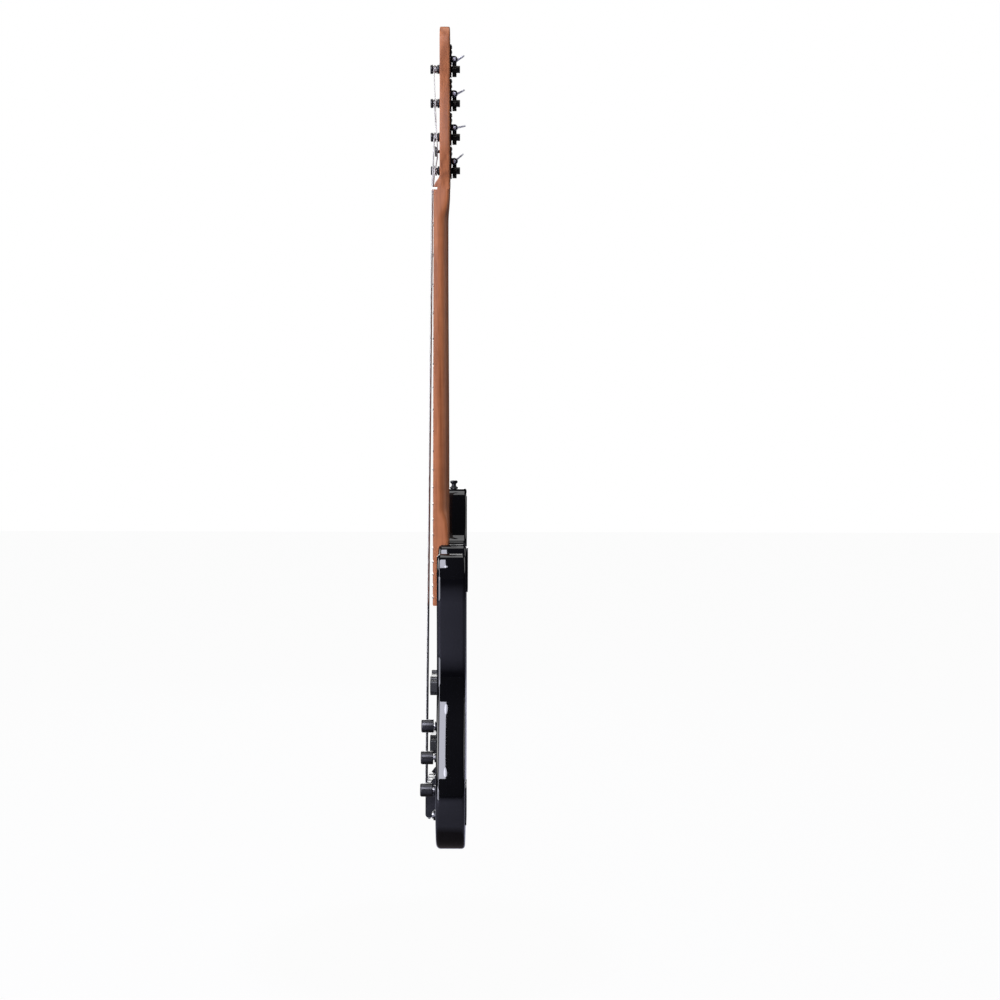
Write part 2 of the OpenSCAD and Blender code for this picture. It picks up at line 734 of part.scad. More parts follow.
module tuning_key(i) {
    color(black) at_tuner(i) translate([0, gear_y, worm_z]) {
        rotate([0, 90, 0]) translate([0, 0, -32])
            cylinder(r = worm_shaft_r, h = 32 + ear_out + 0.6, $fn = 40);
        rotate([0, 90, 0]) translate([0, 0, -ear_in + 0.1])
            cylinder(r = 2.9, h = 2 * ear_in - 0.2, $fn = 40);
        rotate([0, 90, 0]) translate([0, 0, -33]) cylinder(r = 3.6, h = 22, $fn = 40);
        worm_thread();
        rotate([key_angles[i], 0, 0]) translate([0, 0, -1.3]) linear_extrude(2.6) key_outline();
    }
}

module tuning_key_e() { tuning_key(0); }
module tuning_key_a() { tuning_key(1); }
module tuning_key_d() { tuning_key(2); }
module tuning_key_g() { tuning_key(3); }

// ---- Bridge ----

bridge_front = 847;                          // distances from the nut to the bridge's two ends
bridge_back = 906;
bridge_wall = 6;
bridge_floor = body_front - 3.5;             // front of the bridge's base plate
bridge_top = body_front - 17.5;
bridge_screw_x = [-34, -19, 0, 19, 34];
bridge_screw_z = -884;
string_hole_y = -3.5;
intonation_y = 1.4;
ball_r = 2.4;                                // ball ends of the strings
saddle_length = 15;
saddle_w = 13;

module bridge_base() {
    side = 2.6;
    color(black) difference() {
        union() {
            slab(bridge_floor, body_front) translate([0, -(bridge_front + bridge_back) / 2])
                round_rect(bridge_width, bridge_back - bridge_front, 2.5);
            translate([-bridge_width / 2 + 1, bridge_top + 1.5, -bridge_back])
                cube([bridge_width - 2, body_front - bridge_top - 2, bridge_wall]);
            // side walls, sloping down towards the pickups
            for (x = [-bridge_width / 2, bridge_width / 2 - side]) translate([x, 0, 0]) rotate([90, 0, 90])
                linear_extrude(side) polygon([
                    [bridge_floor + 1, -bridge_back], [bridge_top + 2, -bridge_back],
                    [bridge_top, -bridge_back + 3], [bridge_top, -873], [bridge_top + 3, -862],
                    [bridge_floor - 3, -851], [bridge_floor + 1, -bridge_front - 2]
                ]);
        }
        for (x = bridge_screw_x) translate([x, 0, bridge_screw_z])
            screw_hole(3.4, 1.6, 22, bridge_floor, 1);
        for (i = [0 : 3]) translate([string_x(i, -scale_length), 0, -bridge_back - 1]) {
            translate([0, string_hole_y, 0]) cylinder(r = 1.8, h = bridge_wall + 2, $fn = 32);
            translate([0, intonation_y, 0]) cylinder(r = 1.55, h = bridge_wall + 2, $fn = 32);
        }
    }
}

module bridge_screws() {
    color(black) for (x = bridge_screw_x) translate([x, 0, bridge_screw_z])
        screw(3.4, 1.6, 22, bridge_floor, 1);
}

module saddles() {
    top = saddle_y + 3;
    color(black) for (i = [0 : 3]) translate([string_x(i, -scale_length), 0, -scale_length]) difference() {
        union() {
            translate([-saddle_w / 2, top, -8]) cube([saddle_w, 9.4, saddle_length]);
            translate([-saddle_w / 2, saddle_y + gauges[i] / 2 + 2.5, 0]) rotate([0, 90, 0])
                cylinder(r = 2.5, h = saddle_w, $fn = 40);
        }
        for (x = [-4.6, 4.6]) translate([x, 0, 2]) bar(1.55, top - 3, top + 11, 32);
        translate([0, intonation_y, -9]) cylinder(r = 1.55, h = saddle_length + 4, $fn = 32);
        translate([-1.5, saddle_y, -0.5]) rotate([8, 0, 0]) translate([0, -3, -20])
            cube([3, 4.6, 19.5]);
    }
}

module height_screws() {
    color(steel) for (i = [0 : 3], x = [-4.6, 4.6])
        translate([string_x(i, -scale_length) + x, 0, 2 - scale_length]) difference() {
            bar(1.5, saddle_y + 2, bridge_floor, 32);
            bar(0.8, saddle_y + 1, saddle_y + 4, 6);
        }
}

module intonation_screws() {
    color(steel) for (i = [0 : 3])
        translate([string_x(i, -scale_length), intonation_y, -bridge_back - 2]) {
        difference() {
            cylinder(r = 2.4, h = 2, $fn = 32);
            cube([0.7, 6, 1.4], center = true);
        }
        cylinder(r = 1.5, h = bridge_back - scale_length + 5, $fn = 32);
    }
}

module saddle_springs() {
    length = bridge_back - bridge_wall - scale_length - 8;
    coils = 6;
    steps = 10;
    color(steel) for (i = [0 : 3]) translate([string_x(i, -scale_length), intonation_y, -scale_length - 8])
        swept([for (k = [0 : coils * steps])
            let(t = 360 * k / steps)
                [2.1 * cos(t), 2.1 * sin(t), -0.4 - (length - 0.8) * k / coils / steps]], 0.35, 6);
}

// ---- Pickups ----

cover_front = body_front - pickup_height;
pole_r = 2.38;
pole_offset = 5.2;                           // the two poles of a string stand this far either side of it

// Puts what follows at each pole of pickup n
module at_poles(n) {
    z = pickup_z[n];
    for (i = [0 : 3], side = [-1, 1]) translate([string_x(i, z) + side * pole_offset, 0, z]) children();
}

// Puts what follows at each screw ear of pickup n
module at_ears(n) {
    for (x = [-1, 1], z = [-1, 1])
        translate([x * (pickup_widths[n] / 2 - 13), 0, pickup_z[n] + z * 10.4]) children();
}

module pickup_cover(n) {
    w = pickup_widths[n];
    color(black) difference() {
        translate([0, 0, pickup_z[n]]) slab(cover_front, body_front + 4) pickup_outline(w);
        translate([0, 0, pickup_z[n]])
            slab(cover_front + 1.6, body_front + 5) round_rect(w - 3.2, 15.2, 2.6);
        at_poles(n) bar(pole_r + 0.06, cover_front - 1, cover_front + 3, 32);
        at_ears(n) screw_hole(2.3, 1.2, 38, cover_front, 1);
    }
}

module front_pickup_cover() { pickup_cover(0); }
module rear_pickup_cover() { pickup_cover(1); }

module pole_magnets() {
    color(steel) for (n = [0, 1]) at_poles(n) bar(pole_r, cover_front - 0.5, body_front + 5, 32);
}

module pickup_coils() {
    color([0.35, 0.13, 0.06]) for (n = [0, 1]) difference() {
        translate([0, 0, pickup_z[n]]) {
            slab(cover_front + 1.7, cover_front + 3.2) round_rect(pickup_widths[n] - 4, 14.4, 2.4);
            slab(cover_front + 3.1, body_front + 2.6) round_rect(pickup_widths[n] - 7, 11.6, 2.4);
            slab(body_front + 2.5, body_front + 4) round_rect(pickup_widths[n] - 4, 14.4, 2.4);
        }
        at_poles(n) bar(pole_r + 0.03, cover_front, body_front + 6, 32);
    }
}

module pickup_foam() {
    color([0.16, 0.16, 0.17]) for (n = [0, 1]) translate([-34, body_front + 5.1, pickup_z[n] - 7])
        cube([68, pickup_floor - body_front - 5.1, 14]);
}

module pickup_screws() {
    color(black) for (n = [0, 1]) at_ears(n) screw(2.3, 1.2, 36, cover_front, 1);
}

// ---- Controls ----

knob_front = body_front - 22.7;
can_depth = 10;
shaft_end = cavity_front + can_depth - 1.6;
bushing_r = 4.7;

module at_pot(n) {
    translate([pot_row[n][0], 0, pot_row[n][1]]) children();
}

module pot_casings() {
    color([0.55, 0.54, 0.5]) for (n = [0 : 2]) at_pot(n) difference() {
        union() {
            bar(12, cavity_front, cavity_front + can_depth);
            bar(bushing_r, body_front - 3.5, cavity_front + 1);
            for (x = [-5, 0, 5]) translate([x - 1, cavity_front + 1, -18]) cube([2, 0.8, 8]);
        }
        bar(3.06, body_front - 5, shaft_end + 0.4);
    }
}

// Washer and nut on each pot and on the jack
module panel_nuts() {
    color(black) {
        for (n = [0 : 2]) at_pot(n) washer_and_nut(8, 7, 0.8, 3.4, bushing_r + 0.04);
        at_jack() washer_and_nut(8.4, 7.4, 0.9, 3.6, 4.79);
    }
}

module washer_and_nut(washer_r, nut_r, washer_front, nut_front, bore_r) {
    difference() {
        union() {
            bar(washer_r, body_front - washer_front, body_front);
            bar(nut_r, body_front - nut_front, body_front - washer_front, 6);
        }
        bar(bore_r, body_front - 5, body_front + 1);
    }
}

module pot_shaft(n) {
    color(steel) at_pot(n) bar(3, knob_front + 2.6, shaft_end);
}

module pot_shaft_volume_front() { pot_shaft(0); }
module pot_shaft_volume_rear() { pot_shaft(1); }
module pot_shaft_tone() { pot_shaft(2); }

module knob(n) {
    r = knob_d / 2;
    color(black) at_pot(n) difference() {
        translate([0, knob_front, 0]) rotate([-90, 0, 0]) rotate_extrude($fn = 64)
            polygon([
                [0, 0.5], [r * 0.72, 0.5], [r * 0.8, 0], [r - 1.2, 0.3], [r, 1.6], [r, knob_h], [0, knob_h]
            ]);
        bar(3.02, knob_front + 2.5, knob_front + knob_h + 1);
        // room for the nut and washer, and the hole of the set screw
        bar(7.4, knob_front + knob_h - 2, knob_front + knob_h + 1);
        translate([0, knob_front + knob_h * 0.6, -r - 1]) cylinder(r = 1.5, h = r + 1, $fn = 32);
    }
}

module knob_volume_front() { knob(0); }
module knob_volume_rear() { knob(1); }
module knob_tone() { knob(2); }

module at_jack() {
    translate([jack_xz[0], 0, jack_xz[1]]) children();
}

module jack_socket() {
    color(steel) at_jack() difference() {
        union() {
            bar(4.75, body_front - 5.6, cavity_front + 0.5);
            bar(6.8, cavity_front, cavity_front + 1.4);
            for (x = [-6.6, 5.6]) translate([x, cavity_front + 1, -2.5]) cube([1, 18, 5]);
            translate([-6.6, cavity_front + 18, -2.5]) cube([3.8, 1, 5]);
        }
        bar(jack_r, body_front - 7, cavity_front + 3);
    }
}

module capacitor() {
    middle = (pot_row[1] + pot_row[2]) / 2;
    color([0.55, 0.26, 0.1]) translate([middle[0], 0, middle[1]]) {
        bar(4.6, cavity_front + 4, cavity_front + 7.4);
        for (z = [-1, 1]) translate([0, cavity_front + 5.7, z * 4]) rotate([z > 0 ? 0 : 180, 0, 0])
            cylinder(r = 0.35, h = 5, $fn = 16);
    }
}

// Insulated wire from one point to another
module wire(a, b) {
    d = b - a;
    translate(a) rotate([0, acos(d[2] / norm(d)), atan2(d[1], d[0])])
        cylinder(r = 0.75, h = norm(d), $fn = 20);
}

module wiring() {
    back = cavity_front + can_depth + 0.75;
    color([0.75, 0.72, 0.6]) {
        wire([pot_row[0][0], back, pot_row[0][1]], [pot_row[2][0], back, pot_row[2][1]]);
        wire([pot_row[2][0] - 4, back, pot_row[2][1]], [jack_xz[0] - 7.4, back, jack_xz[1] + 1]);
    }
}

// ---- Strap buttons ----

felt = 1.8;
button_h = 10;

module at_strap() {
    for (s = strap_ends) translate([s[0], strap_y, s[1]]) rotate([0, -s[2], 0]) children();
}

module felt_washers() {
    color([0.08, 0.08, 0.08]) at_strap() difference() {
        cylinder(r = 6.4, h = felt, $fn = 48);
        translate([0, 0, -1]) cylinder(r = 2.1, h = felt + 2, $fn = 32);
    }
}

module strap_buttons() {
    color(black) at_strap() translate([0, 0, felt]) difference() {
        rotate_extrude($fn = 64) polygon([
            [0, 0], [5.2, 0], [4, 1.6], [3.4, 3.4], [3.4, 5], [4.6, 6], [5.6, 6.8], [5.9, 8],
            [5.6, 9.3], [4.8, button_h], [0, button_h]
        ]);
        translate([0, 0, -1]) cylinder(r = 1.9, h = button_h + 2, $fn = 32);
        translate([0, 0, button_h - 3]) cylinder(r = 3.7, h = 4, $fn = 40);
    }
}

module strap_button_screws() {
    color(steel) at_strap() translate([0, 0, felt + button_h - 3]) difference() {
        union() {
            cylinder(r = 3.5, h = 2.2, $fn = 40);
            translate([0, 0, -28]) cylinder(r = 1.8, h = 28.1, $fn = 32);
        }
        for (a = [0, 90]) rotate([0, 0, a]) translate([0, 0, 2.2]) cube([4.6, 0.9, 2.4], center = true);
    }
}

body();
control_cover();
battery_cover();
cover_screws();
battery();
neck();
fingerboard();
frets();
position_dots();
nut();
truss_rod();
neck_plate();
neck_screws();
string_tree();
tree_screw();
tuner_ferrules();
tuner_plates();
plate_screws();
string_e();
string_a();
string_d();
string_g();
bridge_base();
bridge_screws();
saddles();
height_screws();
intonation_screws();
saddle_springs();
front_pickup_cover();
rear_pickup_cover();
pole_magnets();
pickup_coils();
pickup_foam();
pickup_screws();
pot_casings();
panel_nuts();
jack_socket();
capacitor();
wiring();
strap_buttons();
strap_button_screws();
felt_washers();
tuning_key_e();
tuning_key_a();
tuning_key_d();
tuning_key_g();
tuner_post_e();
tuner_post_a();
tuner_post_d();
tuner_post_g();
tuner_gear_e();
tuner_gear_a();
tuner_gear_d();
tuner_gear_g();
knob_volume_front();
knob_volume_rear();
knob_tone();
pot_shaft_volume_front();
pot_shaft_volume_rear();
pot_shaft_tone();
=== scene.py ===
"""Looks of a four-string solid-body electric bass guitar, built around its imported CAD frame.

Lengths are in metres, in the frame's own axes: X to the treble side, Y to the back, Z up the neck.
The origin is the middle of the fingerboard's top at the nut.
"""

import json
import math

import bmesh
import bpy
from mathutils import Matrix, Vector


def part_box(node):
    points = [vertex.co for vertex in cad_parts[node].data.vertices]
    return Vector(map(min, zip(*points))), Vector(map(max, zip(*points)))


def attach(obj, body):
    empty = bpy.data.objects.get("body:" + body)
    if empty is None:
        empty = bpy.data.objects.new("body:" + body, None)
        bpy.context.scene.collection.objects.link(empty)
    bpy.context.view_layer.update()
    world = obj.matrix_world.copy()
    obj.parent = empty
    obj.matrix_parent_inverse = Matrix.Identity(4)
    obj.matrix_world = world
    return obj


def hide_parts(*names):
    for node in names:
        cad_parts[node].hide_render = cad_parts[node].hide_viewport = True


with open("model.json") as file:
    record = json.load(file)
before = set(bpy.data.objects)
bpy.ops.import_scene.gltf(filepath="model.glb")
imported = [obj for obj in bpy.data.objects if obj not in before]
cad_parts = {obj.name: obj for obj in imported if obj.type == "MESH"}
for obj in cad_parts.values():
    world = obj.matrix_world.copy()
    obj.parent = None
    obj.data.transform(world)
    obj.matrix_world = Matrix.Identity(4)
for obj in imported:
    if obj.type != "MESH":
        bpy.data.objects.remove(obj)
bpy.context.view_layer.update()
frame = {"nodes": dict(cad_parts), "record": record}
nodes = frame["nodes"]
MM = 0.001
STRINGS = ["e", "a", "d", "g"]
CONTROLS = ["volume_front", "volume_rear", "tone"]
BODY_OF = {node: body for body, members in frame["record"]["behaviour"]["bodies"].items()
           for node in members}
SLOT_OF = {row["node"]: row["material_slot"] for row in frame["record"]["subparts"]}


# ---- Camera, light and floor ----

CAMERA_PLACE = Vector((2.15, 0.0665, -0.388))
FLOOR_Z = -1.11


def look_at(thing, target):
    """Turns a light so that it shines at target."""
    thing.rotation_euler = (Vector(target) - thing.location).to_track_quat("-Z", "Y").to_euler()


def add_camera():
    """Level camera on the treble side, with the neck upright in the frame."""
    data = bpy.data.cameras.new("camera")
    data.sensor_width = 36.0
    data.lens = 52.85
    data.shift_x = 0.0215
    data.shift_y = -0.043
    data.clip_end = 50.0
    camera = bpy.data.objects.new("camera", data)
    bpy.context.scene.collection.objects.link(camera)
    camera.location = CAMERA_PLACE
    camera.rotation_euler = (math.radians(90.0), math.radians(-0.11), math.radians(90.0))
    bpy.context.scene.camera = camera


def add_area(name, place, target, width, height, watts, colour=(1.0, 1.0, 1.0), shape="RECTANGLE"):
    data = bpy.data.lights.new(name, "AREA")
    data.shape = shape
    data.size = width
    data.size_y = height
    data.energy = watts
    data.color = colour
    lamp = bpy.data.objects.new(name, data)
    lamp.visible_camera = False
    bpy.context.scene.collection.objects.link(lamp)
    lamp.location = place
    look_at(lamp, target)


def add_lights():
    """Soft boxes round the instrument in a dim room with white walls."""
    cool = (0.86, 0.87, 1.0)
    add_area("soft_box", (1.962, -0.655, 1.04), (0.012, -0.655, -0.86), 1.04, 1.65, 72.0, cool)
    add_area("soft_box_bulge", (2.366, -0.135, 0.615), (0.936, -0.135, -0.785), 0.07, 0.3, 0.68,
             cool, "ELLIPSE")
    add_area("front_strip", (1.5, -1.25, 0.35), (0.0, 0.0, 0.35), 0.34, 2.1, 20.0, cool)
    add_area("low_strip", (1.15, -0.96, -0.82), (0.0, 0.0, -0.7), 1.1, 0.5, 13.0, cool)
    add_area("front", (0.2, -2.4, 0.5), (0.0, 0.0, -0.4), 1.3, 1.5, 40.0)
    add_area("back", (-0.5, 2.4, 0.3), (0.0, 0.0, -0.4), 1.2, 1.7, 13.0)
    add_area("far_side", (-2.3, -0.3, 0.3), (0.0, 0.0, -0.4), 0.9, 1.7, 24.0)
    add_area("top", (0.0, 0.1, 1.6), (0.0, 0.1, -0.3), 1.4, 1.4, 16.0)
    world = bpy.data.worlds.new("studio")
    bpy.context.scene.world = world
    world.use_nodes = True
    tree = world.node_tree
    tree.nodes.clear()
    output = tree.nodes.new("ShaderNodeOutputWorld")
    mix = tree.nodes.new("ShaderNodeMixShader")
    rays = tree.nodes.new("ShaderNodeLightPath")
    seen = tree.nodes.new("ShaderNodeBackground")
    seen.inputs["Color"].default_value = (1.0, 1.0, 1.0, 1.0)
    seen.inputs["Strength"].default_value = 1.0
    felt = tree.nodes.new("ShaderNodeBackground")
    felt.inputs["Color"].default_value = (0.9, 0.92, 1.0, 1.0)
    felt.inputs["Strength"].default_value = 0.045
    tree.links.new(rays.outputs["Is Camera Ray"], mix.inputs[0])
    tree.links.new(felt.outputs[0], mix.inputs[1])
    tree.links.new(seen.outputs[0], mix.inputs[2])
    tree.links.new(mix.outputs[0], output.inputs["Surface"])
    bpy.context.scene.view_settings.view_transform = "Standard"


def add_floor(material):
    mesh = bpy.data.meshes.new("floor")
    half = 12.0
    mesh.from_pydata([(-half, -half, FLOOR_Z), (half, -half, FLOOR_Z), (half, half, FLOOR_Z),
                      (-half, half, FLOOR_Z)], [], [(0, 1, 2, 3)])
    floor = bpy.data.objects.new("floor", mesh)
    bpy.context.scene.collection.objects.link(floor)
    mesh.materials.append(material)


# ---- Materials ----

class Shader:
    """A material with its node tree, and short calls for the nodes that the looks are made of."""

    def __init__(self, name, colour, roughness, metallic=0.0, **more):
        self.material = bpy.data.materials.new(name)
        self.material.use_nodes = True
        self.tree = self.material.node_tree
        self.surface = self.tree.nodes["Principled BSDF"]
        self.set("Base Color", (*colour, 1.0))
        self.set("Roughness", roughness)
        self.set("Metallic", metallic)
        for socket, value in more.items():
            self.set(socket.replace("_", " "), value)
        coords = self.tree.nodes.new("ShaderNodeTexCoord")
        self.place = coords.outputs["Object"]

    def set(self, socket, value):
        self.surface.inputs[socket].default_value = value

    def link(self, source, socket):
        self.tree.links.new(source, self.surface.inputs[socket])

    def scaled(self, x, y, z, turn=(0.0, 0.0, 0.0)):
        """The place on the object, stretched along each axis."""
        mapping = self.tree.nodes.new("ShaderNodeMapping")
        mapping.inputs["Scale"].default_value = (x, y, z)
        mapping.inputs["Rotation"].default_value = turn
        self.tree.links.new(self.place, mapping.inputs["Vector"])
        return mapping.outputs["Vector"]

    def noise(self, vector, scale, detail=4.0, roughness=0.55, distortion=0.0):
        node = self.tree.nodes.new("ShaderNodeTexNoise")
        node.inputs["Scale"].default_value = scale
        node.inputs["Detail"].default_value = detail
        node.inputs["Roughness"].default_value = roughness
        node.inputs["Distortion"].default_value = distortion
        self.tree.links.new(vector, node.inputs["Vector"])
        return node.outputs["Fac"]

    def wave(self, vector, scale, distortion=0.0, detail=2.0, direction="Z"):
        node = self.tree.nodes.new("ShaderNodeTexWave")
        node.bands_direction = direction
        node.inputs["Scale"].default_value = scale
        node.inputs["Distortion"].default_value = distortion
        node.inputs["Detail"].default_value = detail
        self.tree.links.new(vector, node.inputs["Vector"])
        return node.outputs["Fac"]

    def remap(self, value, low, high, out_low, out_high):
        node = self.tree.nodes.new("ShaderNodeMapRange")
        limits = {"From Min": low, "From Max": high, "To Min": out_low, "To Max": out_high}
        for socket, number in limits.items():
            node.inputs[socket].default_value = number
        self.tree.links.new(value, node.inputs["Value"])
        return node.outputs["Result"]

    def ramp(self, value, stops):
        node = self.tree.nodes.new("ShaderNodeValToRGB")
        ramp = node.color_ramp
        while len(ramp.elements) < len(stops):
            ramp.elements.new(0.5)
        for element, (place, colour) in zip(ramp.elements, stops):
            element.position = place
            element.color = (*colour, 1.0)
        self.tree.links.new(value, node.inputs["Fac"])
        return node.outputs["Color"]

    def mix(self, amount, a, b, blend="MIX"):
        """Mixes two colour outputs by an amount, which is an output or a number."""
        node = self.tree.nodes.new("ShaderNodeMix")
        node.data_type = "RGBA"
        node.blend_type = blend
        if isinstance(amount, float):
            node.inputs[0].default_value = amount
        else:
            self.tree.links.new(amount, node.inputs[0])
        self.tree.links.new(a, node.inputs[6])
        self.tree.links.new(b, node.inputs[7])
        return node.outputs[2]

    def bump(self, height, strength, distance):
        node = self.tree.nodes.new("ShaderNodeBump")
        node.inputs["Strength"].default_value = strength
        node.inputs["Distance"].default_value = distance
        self.tree.links.new(height, node.inputs["Height"])
        self.link(node.outputs["Normal"], "Normal")


def lacquer():
    """Black polyester gloss: a hard clear coat with a faint ripple and polishing haze."""
    s = Shader("black_gloss", (0.002, 0.002, 0.0025), 0.14, Specular_IOR_Level=0.0, Coat_Weight=1.0,
               Coat_Roughness=0.025)
    haze = s.noise(s.scaled(1.0, 1.0, 0.35), 26.0, 6.0)
    s.link(s.remap(haze, 0.35, 0.7, 0.08, 0.2), "Roughness")
    cloud = s.noise(s.place, 9.0, 3.0)
    black = s.ramp(cloud, [(0.3, (0.0012, 0.0012, 0.0017)), (0.75, (0.0028, 0.0027, 0.0034))])
    s.link(black, "Base Color")
    ripple = s.noise(s.place, 85.0, 2.0)
    s.bump(ripple, 0.05, 0.0004)
    return s.material


def maple(name, seed):
    """Roasted maple: long caramel grain, darker growth lines, faint curl across, satin coat."""
    s = Shader(name, (0.4, 0.16, 0.07), 0.48, Specular_IOR_Level=0.25, Coat_Weight=0.06,
               Coat_Roughness=0.25)
    along = s.scaled(1.0, 1.0, 0.045)
    fibre = s.noise(along, 330.0, 5.0, 0.6)
    lines = s.wave(s.scaled(1.0, 0.8, 0.02, (0.0, 0.03 * seed, 0.4)), 34.0, 5.5, 3.0, "X")
    patches = s.noise(s.scaled(1.0, 1.0, 0.25), 16.0 + seed, 3.0)
    curl = s.noise(s.scaled(0.3, 0.3, 1.0), 95.0, 2.0)
    plain = (1.0, 1.0, 1.0)
    base = s.ramp(patches, [(0.25, (0.225, 0.071, 0.025)), (0.5, (0.295, 0.101, 0.038)),
                            (0.8, (0.37, 0.14, 0.058))])
    grain = s.ramp(lines, [(0.0, (0.74, 0.68, 0.62)), (0.35, plain), (1.0, (1.06, 1.05, 1.03))])
    streak = s.ramp(fibre, [(0.3, (0.7, 0.62, 0.56)), (0.55, plain), (0.85, (1.12, 1.1, 1.06))])
    flame = s.ramp(curl, [(0.3, (0.88, 0.86, 0.84)), (0.7, (1.06, 1.06, 1.06))])
    toned = s.mix(0.75, base, grain, "MULTIPLY")
    toned = s.mix(0.8, toned, streak, "MULTIPLY")
    s.link(s.mix(0.6, toned, flame, "MULTIPLY"), "Base Color")
    s.link(s.remap(fibre, 0.3, 0.7, 0.42, 0.56), "Roughness")
    s.bump(fibre, 0.12, 0.0002)
    return s.material


def plated(name, colour=(0.016, 0.016, 0.018), roughness=0.3, brush=(1.0, 1.0, 1.0), grain=600.0):
    """Black-plated metal: satin, with fine polishing lines and slightly brighter rubbed spots."""
    s = Shader(name, colour, roughness, 0.75, Coat_Weight=0.12, Coat_Roughness=0.2)
    lines = s.noise(s.scaled(*brush), grain, 3.0)
    rubbed = s.noise(s.place, 60.0, 5.0, 0.65)
    light = tuple(c * 2.2 for c in colour)
    s.link(s.ramp(rubbed, [(0.45, colour), (0.8, light)]), "Base Color")
    s.link(s.remap(lines, 0.3, 0.7, roughness - 0.07, roughness + 0.1), "Roughness")
    s.bump(lines, 0.06, 0.0001)
    return s.material


def moulded():
    """Black moulded plastic: even, with a very fine moulded texture."""
    s = Shader("black_plastic", (0.014, 0.014, 0.015), 0.38)
    speck = s.noise(s.place, 1500.0, 2.0)
    smear = s.noise(s.place, 45.0, 4.0)
    s.link(s.remap(smear, 0.3, 0.7, 0.3, 0.46), "Roughness")
    s.link(s.ramp(smear, [(0.3, (0.011, 0.011, 0.012)), (0.8, (0.02, 0.02, 0.021))]), "Base Color")
    s.bump(speck, 0.12, 0.00008)
    return s.material


def bright_metal(name, colour, roughness, grain=900.0, stretch=(1.0, 1.0, 0.2)):
    """Plated or ground bright metal with fine machining lines."""
    s = Shader(name, colour, roughness, 1.0)
    lines = s.noise(s.scaled(*stretch), grain, 3.0)
    stain = s.noise(s.place, 70.0, 4.0)
    dark = tuple(c * 0.72 for c in colour)
    s.link(s.ramp(stain, [(0.3, dark), (0.6, colour)]), "Base Color")
    s.link(s.remap(lines, 0.3, 0.7, max(0.04, roughness - 0.08), roughness + 0.08), "Roughness")
    s.bump(lines, 0.08, 0.00008)
    return s.material


def wound():
    """Nickel round-wound string: close turns of wrap wire across the string."""
    s = Shader("string_wound", (0.45, 0.45, 0.45), 0.34, 1.0)
    turns = s.wave(s.place, 620.0)
    grime = s.noise(s.scaled(1.0, 1.0, 0.2), 60.0, 3.0)
    s.link(s.ramp(grime, [(0.3, (0.25, 0.248, 0.246)), (0.7, (0.4, 0.396, 0.392))]), "Base Color")
    s.link(s.remap(grime, 0.3, 0.7, 0.26, 0.42), "Roughness")
    s.bump(turns, 0.5, 0.0001)
    return s.material


def pearl(name, light, dark, roughness):
    """Pale bone or pearl plastic with soft clouds inside."""
    s = Shader(name, light, roughness, Subsurface_Weight=0.15, Subsurface_Scale=0.002)
    cloud = s.noise(s.place, 320.0, 3.0, 0.5, 1.2)
    s.link(s.ramp(cloud, [(0.3, dark), (0.7, light)]), "Base Color")
    s.link(s.remap(cloud, 0.3, 0.7, roughness - 0.05, roughness + 0.08), "Roughness")
    return s.material


def soft(name, light, dark, scale, stretch=(1.0, 1.0, 1.0)):
    """Matt fibrous stuff: felt, foam, cloth cover."""
    s = Shader(name, light, 0.95, Sheen_Weight=0.4, Sheen_Roughness=0.5)
    tuft = s.noise(s.scaled(*stretch), scale, 6.0, 0.7)
    s.link(s.ramp(tuft, [(0.3, dark), (0.7, light)]), "Base Color")
    s.bump(tuft, 0.6, 0.0004)
    return s.material


def floor_paint():
    """Pale floor that runs into the white room behind it, with a dark disc of painted shadow under
    the instrument.
    """
    s = Shader("floor_paint", (0.26, 0.26, 0.33), 0.9)
    tone = s.noise(s.place, 3.0, 3.0)
    pale = s.ramp(tone, [(0.3, (0.25, 0.25, 0.32)), (0.7, (0.27, 0.27, 0.34))])
    away = s.tree.nodes.new("ShaderNodeVectorMath")
    away.operation = "LENGTH"
    s.tree.links.new(s.scaled(1.0, 1.0, 0.0), away.inputs[0])
    # Painted shadow: a dark disc on the floor under the instrument, fading out between 0.22 and 0.3
    # m from the middle.
    painted_shadow = s.ramp(away.outputs["Value"], [(0.0, (0.05, 0.04, 0.04)), (1.0, (0.05, 0.04, 0.04))])
    s.link(s.mix(s.remap(away.outputs["Value"], 0.22, 0.3, 0.0, 1.0), painted_shadow, pale), "Base Color")
    glow = s.tree.nodes.new("ShaderNodeEmission")
    rays = s.tree.nodes.new("ShaderNodeLightPath")
    share = s.tree.nodes.new("ShaderNodeMath")
    share.operation = "MULTIPLY"
    share.inputs[1].default_value = 0.97
    mix = s.tree.nodes.new("ShaderNodeMixShader")
    s.tree.links.new(rays.outputs["Is Camera Ray"], share.inputs[0])
    s.tree.links.new(share.outputs[0], mix.inputs[0])
    s.tree.links.new(s.surface.outputs[0], mix.inputs[1])
    s.tree.links.new(glow.outputs[0], mix.inputs[2])
    s.tree.links.new(mix.outputs[0], s.tree.nodes["Material Output"].inputs["Surface"])
    return s.material


